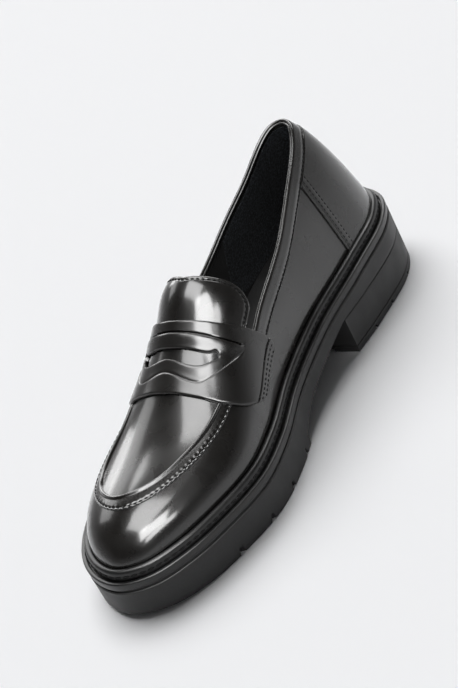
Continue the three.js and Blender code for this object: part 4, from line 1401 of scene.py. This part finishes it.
def make_camera():
    """The camera of the main view; its upright frame shows the shoe whole from the sides too."""
    back = (CAMERA_PLACE - CAMERA_AIM).normalized()
    right = (CAMERA_RIGHT - back * CAMERA_RIGHT.dot(back)).normalized()
    up = back.cross(right)
    camera = bpy.data.cameras.new("camera")
    camera.sensor_fit = "VERTICAL"
    camera.sensor_width = SENSOR
    camera.sensor_height = SENSOR
    camera.lens = FOCAL_SHARE * SENSOR * ZOOM
    camera.clip_start = 0.01
    piece = bpy.data.objects.new("camera", camera)
    turned = Matrix((right, up, back)).transposed().to_4x4()
    piece.matrix_world = Matrix.Translation(CAMERA_PLACE) @ turned
    bpy.context.scene.collection.objects.link(piece)
    bpy.context.scene.camera = piece


def soft_box(name, direction, distance, size, power):
    """A light box that shows in the gloss alone; the floor has its own light."""
    light = bpy.data.lights.new(name, "AREA")
    light.shape = "RECTANGLE"
    light.size, light.size_y = size
    light.energy = power
    piece = bpy.data.objects.new(name, light)
    piece.location = LIGHT_AIM + Vector(direction).normalized() * distance
    piece.rotation_euler = Vector(direction).to_track_quat("Z", "Y").to_euler()
    piece.visible_diffuse = False
    bpy.context.scene.collection.objects.link(piece)


def floor_light(direction, strength, angle):
    """A soft sun that lights the floor and stays out of the gloss."""
    light = bpy.data.lights.new("floor_light", "SUN")
    light.energy = strength
    light.angle = math.radians(angle)
    piece = bpy.data.objects.new("floor_light", light)
    piece.rotation_euler = Vector(direction).to_track_quat("Z", "Y").to_euler()
    piece.visible_glossy = False
    bpy.context.scene.collection.objects.link(piece)


def make_world():
    """Reflected surroundings that darken from the horizon up, and a pale backdrop for the camera itself."""
    world = bpy.data.worlds.new("studio")
    bpy.context.scene.world = world
    world.use_nodes = True
    tree = world.node_tree
    place = add_node(tree, "ShaderNodeTexCoord").outputs["Generated"]
    parts = add_node(tree, "ShaderNodeSeparateXYZ", {"Vector": place})
    ramp = add_node(tree, "ShaderNodeValToRGB", {"Fac": parts.outputs["Z"]})
    elements = ramp.color_ramp.elements
    for position, _, _ in SKY[1:-1]:
        elements.new(position)
    for element, (position, grey, blue) in zip(elements, SKY):
        element.position = position
        element.color = (grey, grey, blue, 1)
    seen = add_node(tree, "ShaderNodeLightPath").outputs["Is Camera Ray"]
    feed(tree, tree.nodes["Background"], {"Color": mixed(tree, seen, ramp.outputs["Color"], BACKDROP)})


def make_floor():
    """Pale paper, darker in reflections where it lies away from the shoe."""
    shape = bmesh.new()
    bmesh.ops.create_grid(shape, x_segments=1, y_segments=1, size=6)
    floor = object_from(shape, "floor")
    material = bpy.data.materials.new("floor_paper")
    material.use_nodes = True
    tree = material.node_tree
    place = add_node(tree, "ShaderNodeTexCoord").outputs["Object"]
    away = add_node(tree, "ShaderNodeVectorMath", {0: place}, operation="LENGTH").outputs["Value"]
    fade = stretched(tree, away, *FLOOR_FADE, 0.0, FLOOR_FADE_SHARE)
    in_gloss = worked_out(
        tree, "MULTIPLY", add_node(tree, "ShaderNodeLightPath").outputs["Is Glossy Ray"], fade)
    paper = {"Base Color": mixed(tree, in_gloss, FLOOR_COLOUR, FLOOR_DARK), "Roughness": 0.9}
    feed(tree, tree.nodes["Principled BSDF"], paper)
    floor.data.materials.append(material)
    return floor


make_camera()
for name, direction, distance, size, power in LIGHT_BOXES:
    soft_box(name, direction, distance, size, power)
floor_light(*FLOOR_LIGHT)
bpy.context.scene.view_settings.view_transform = "Standard"
make_world()
make_floor()
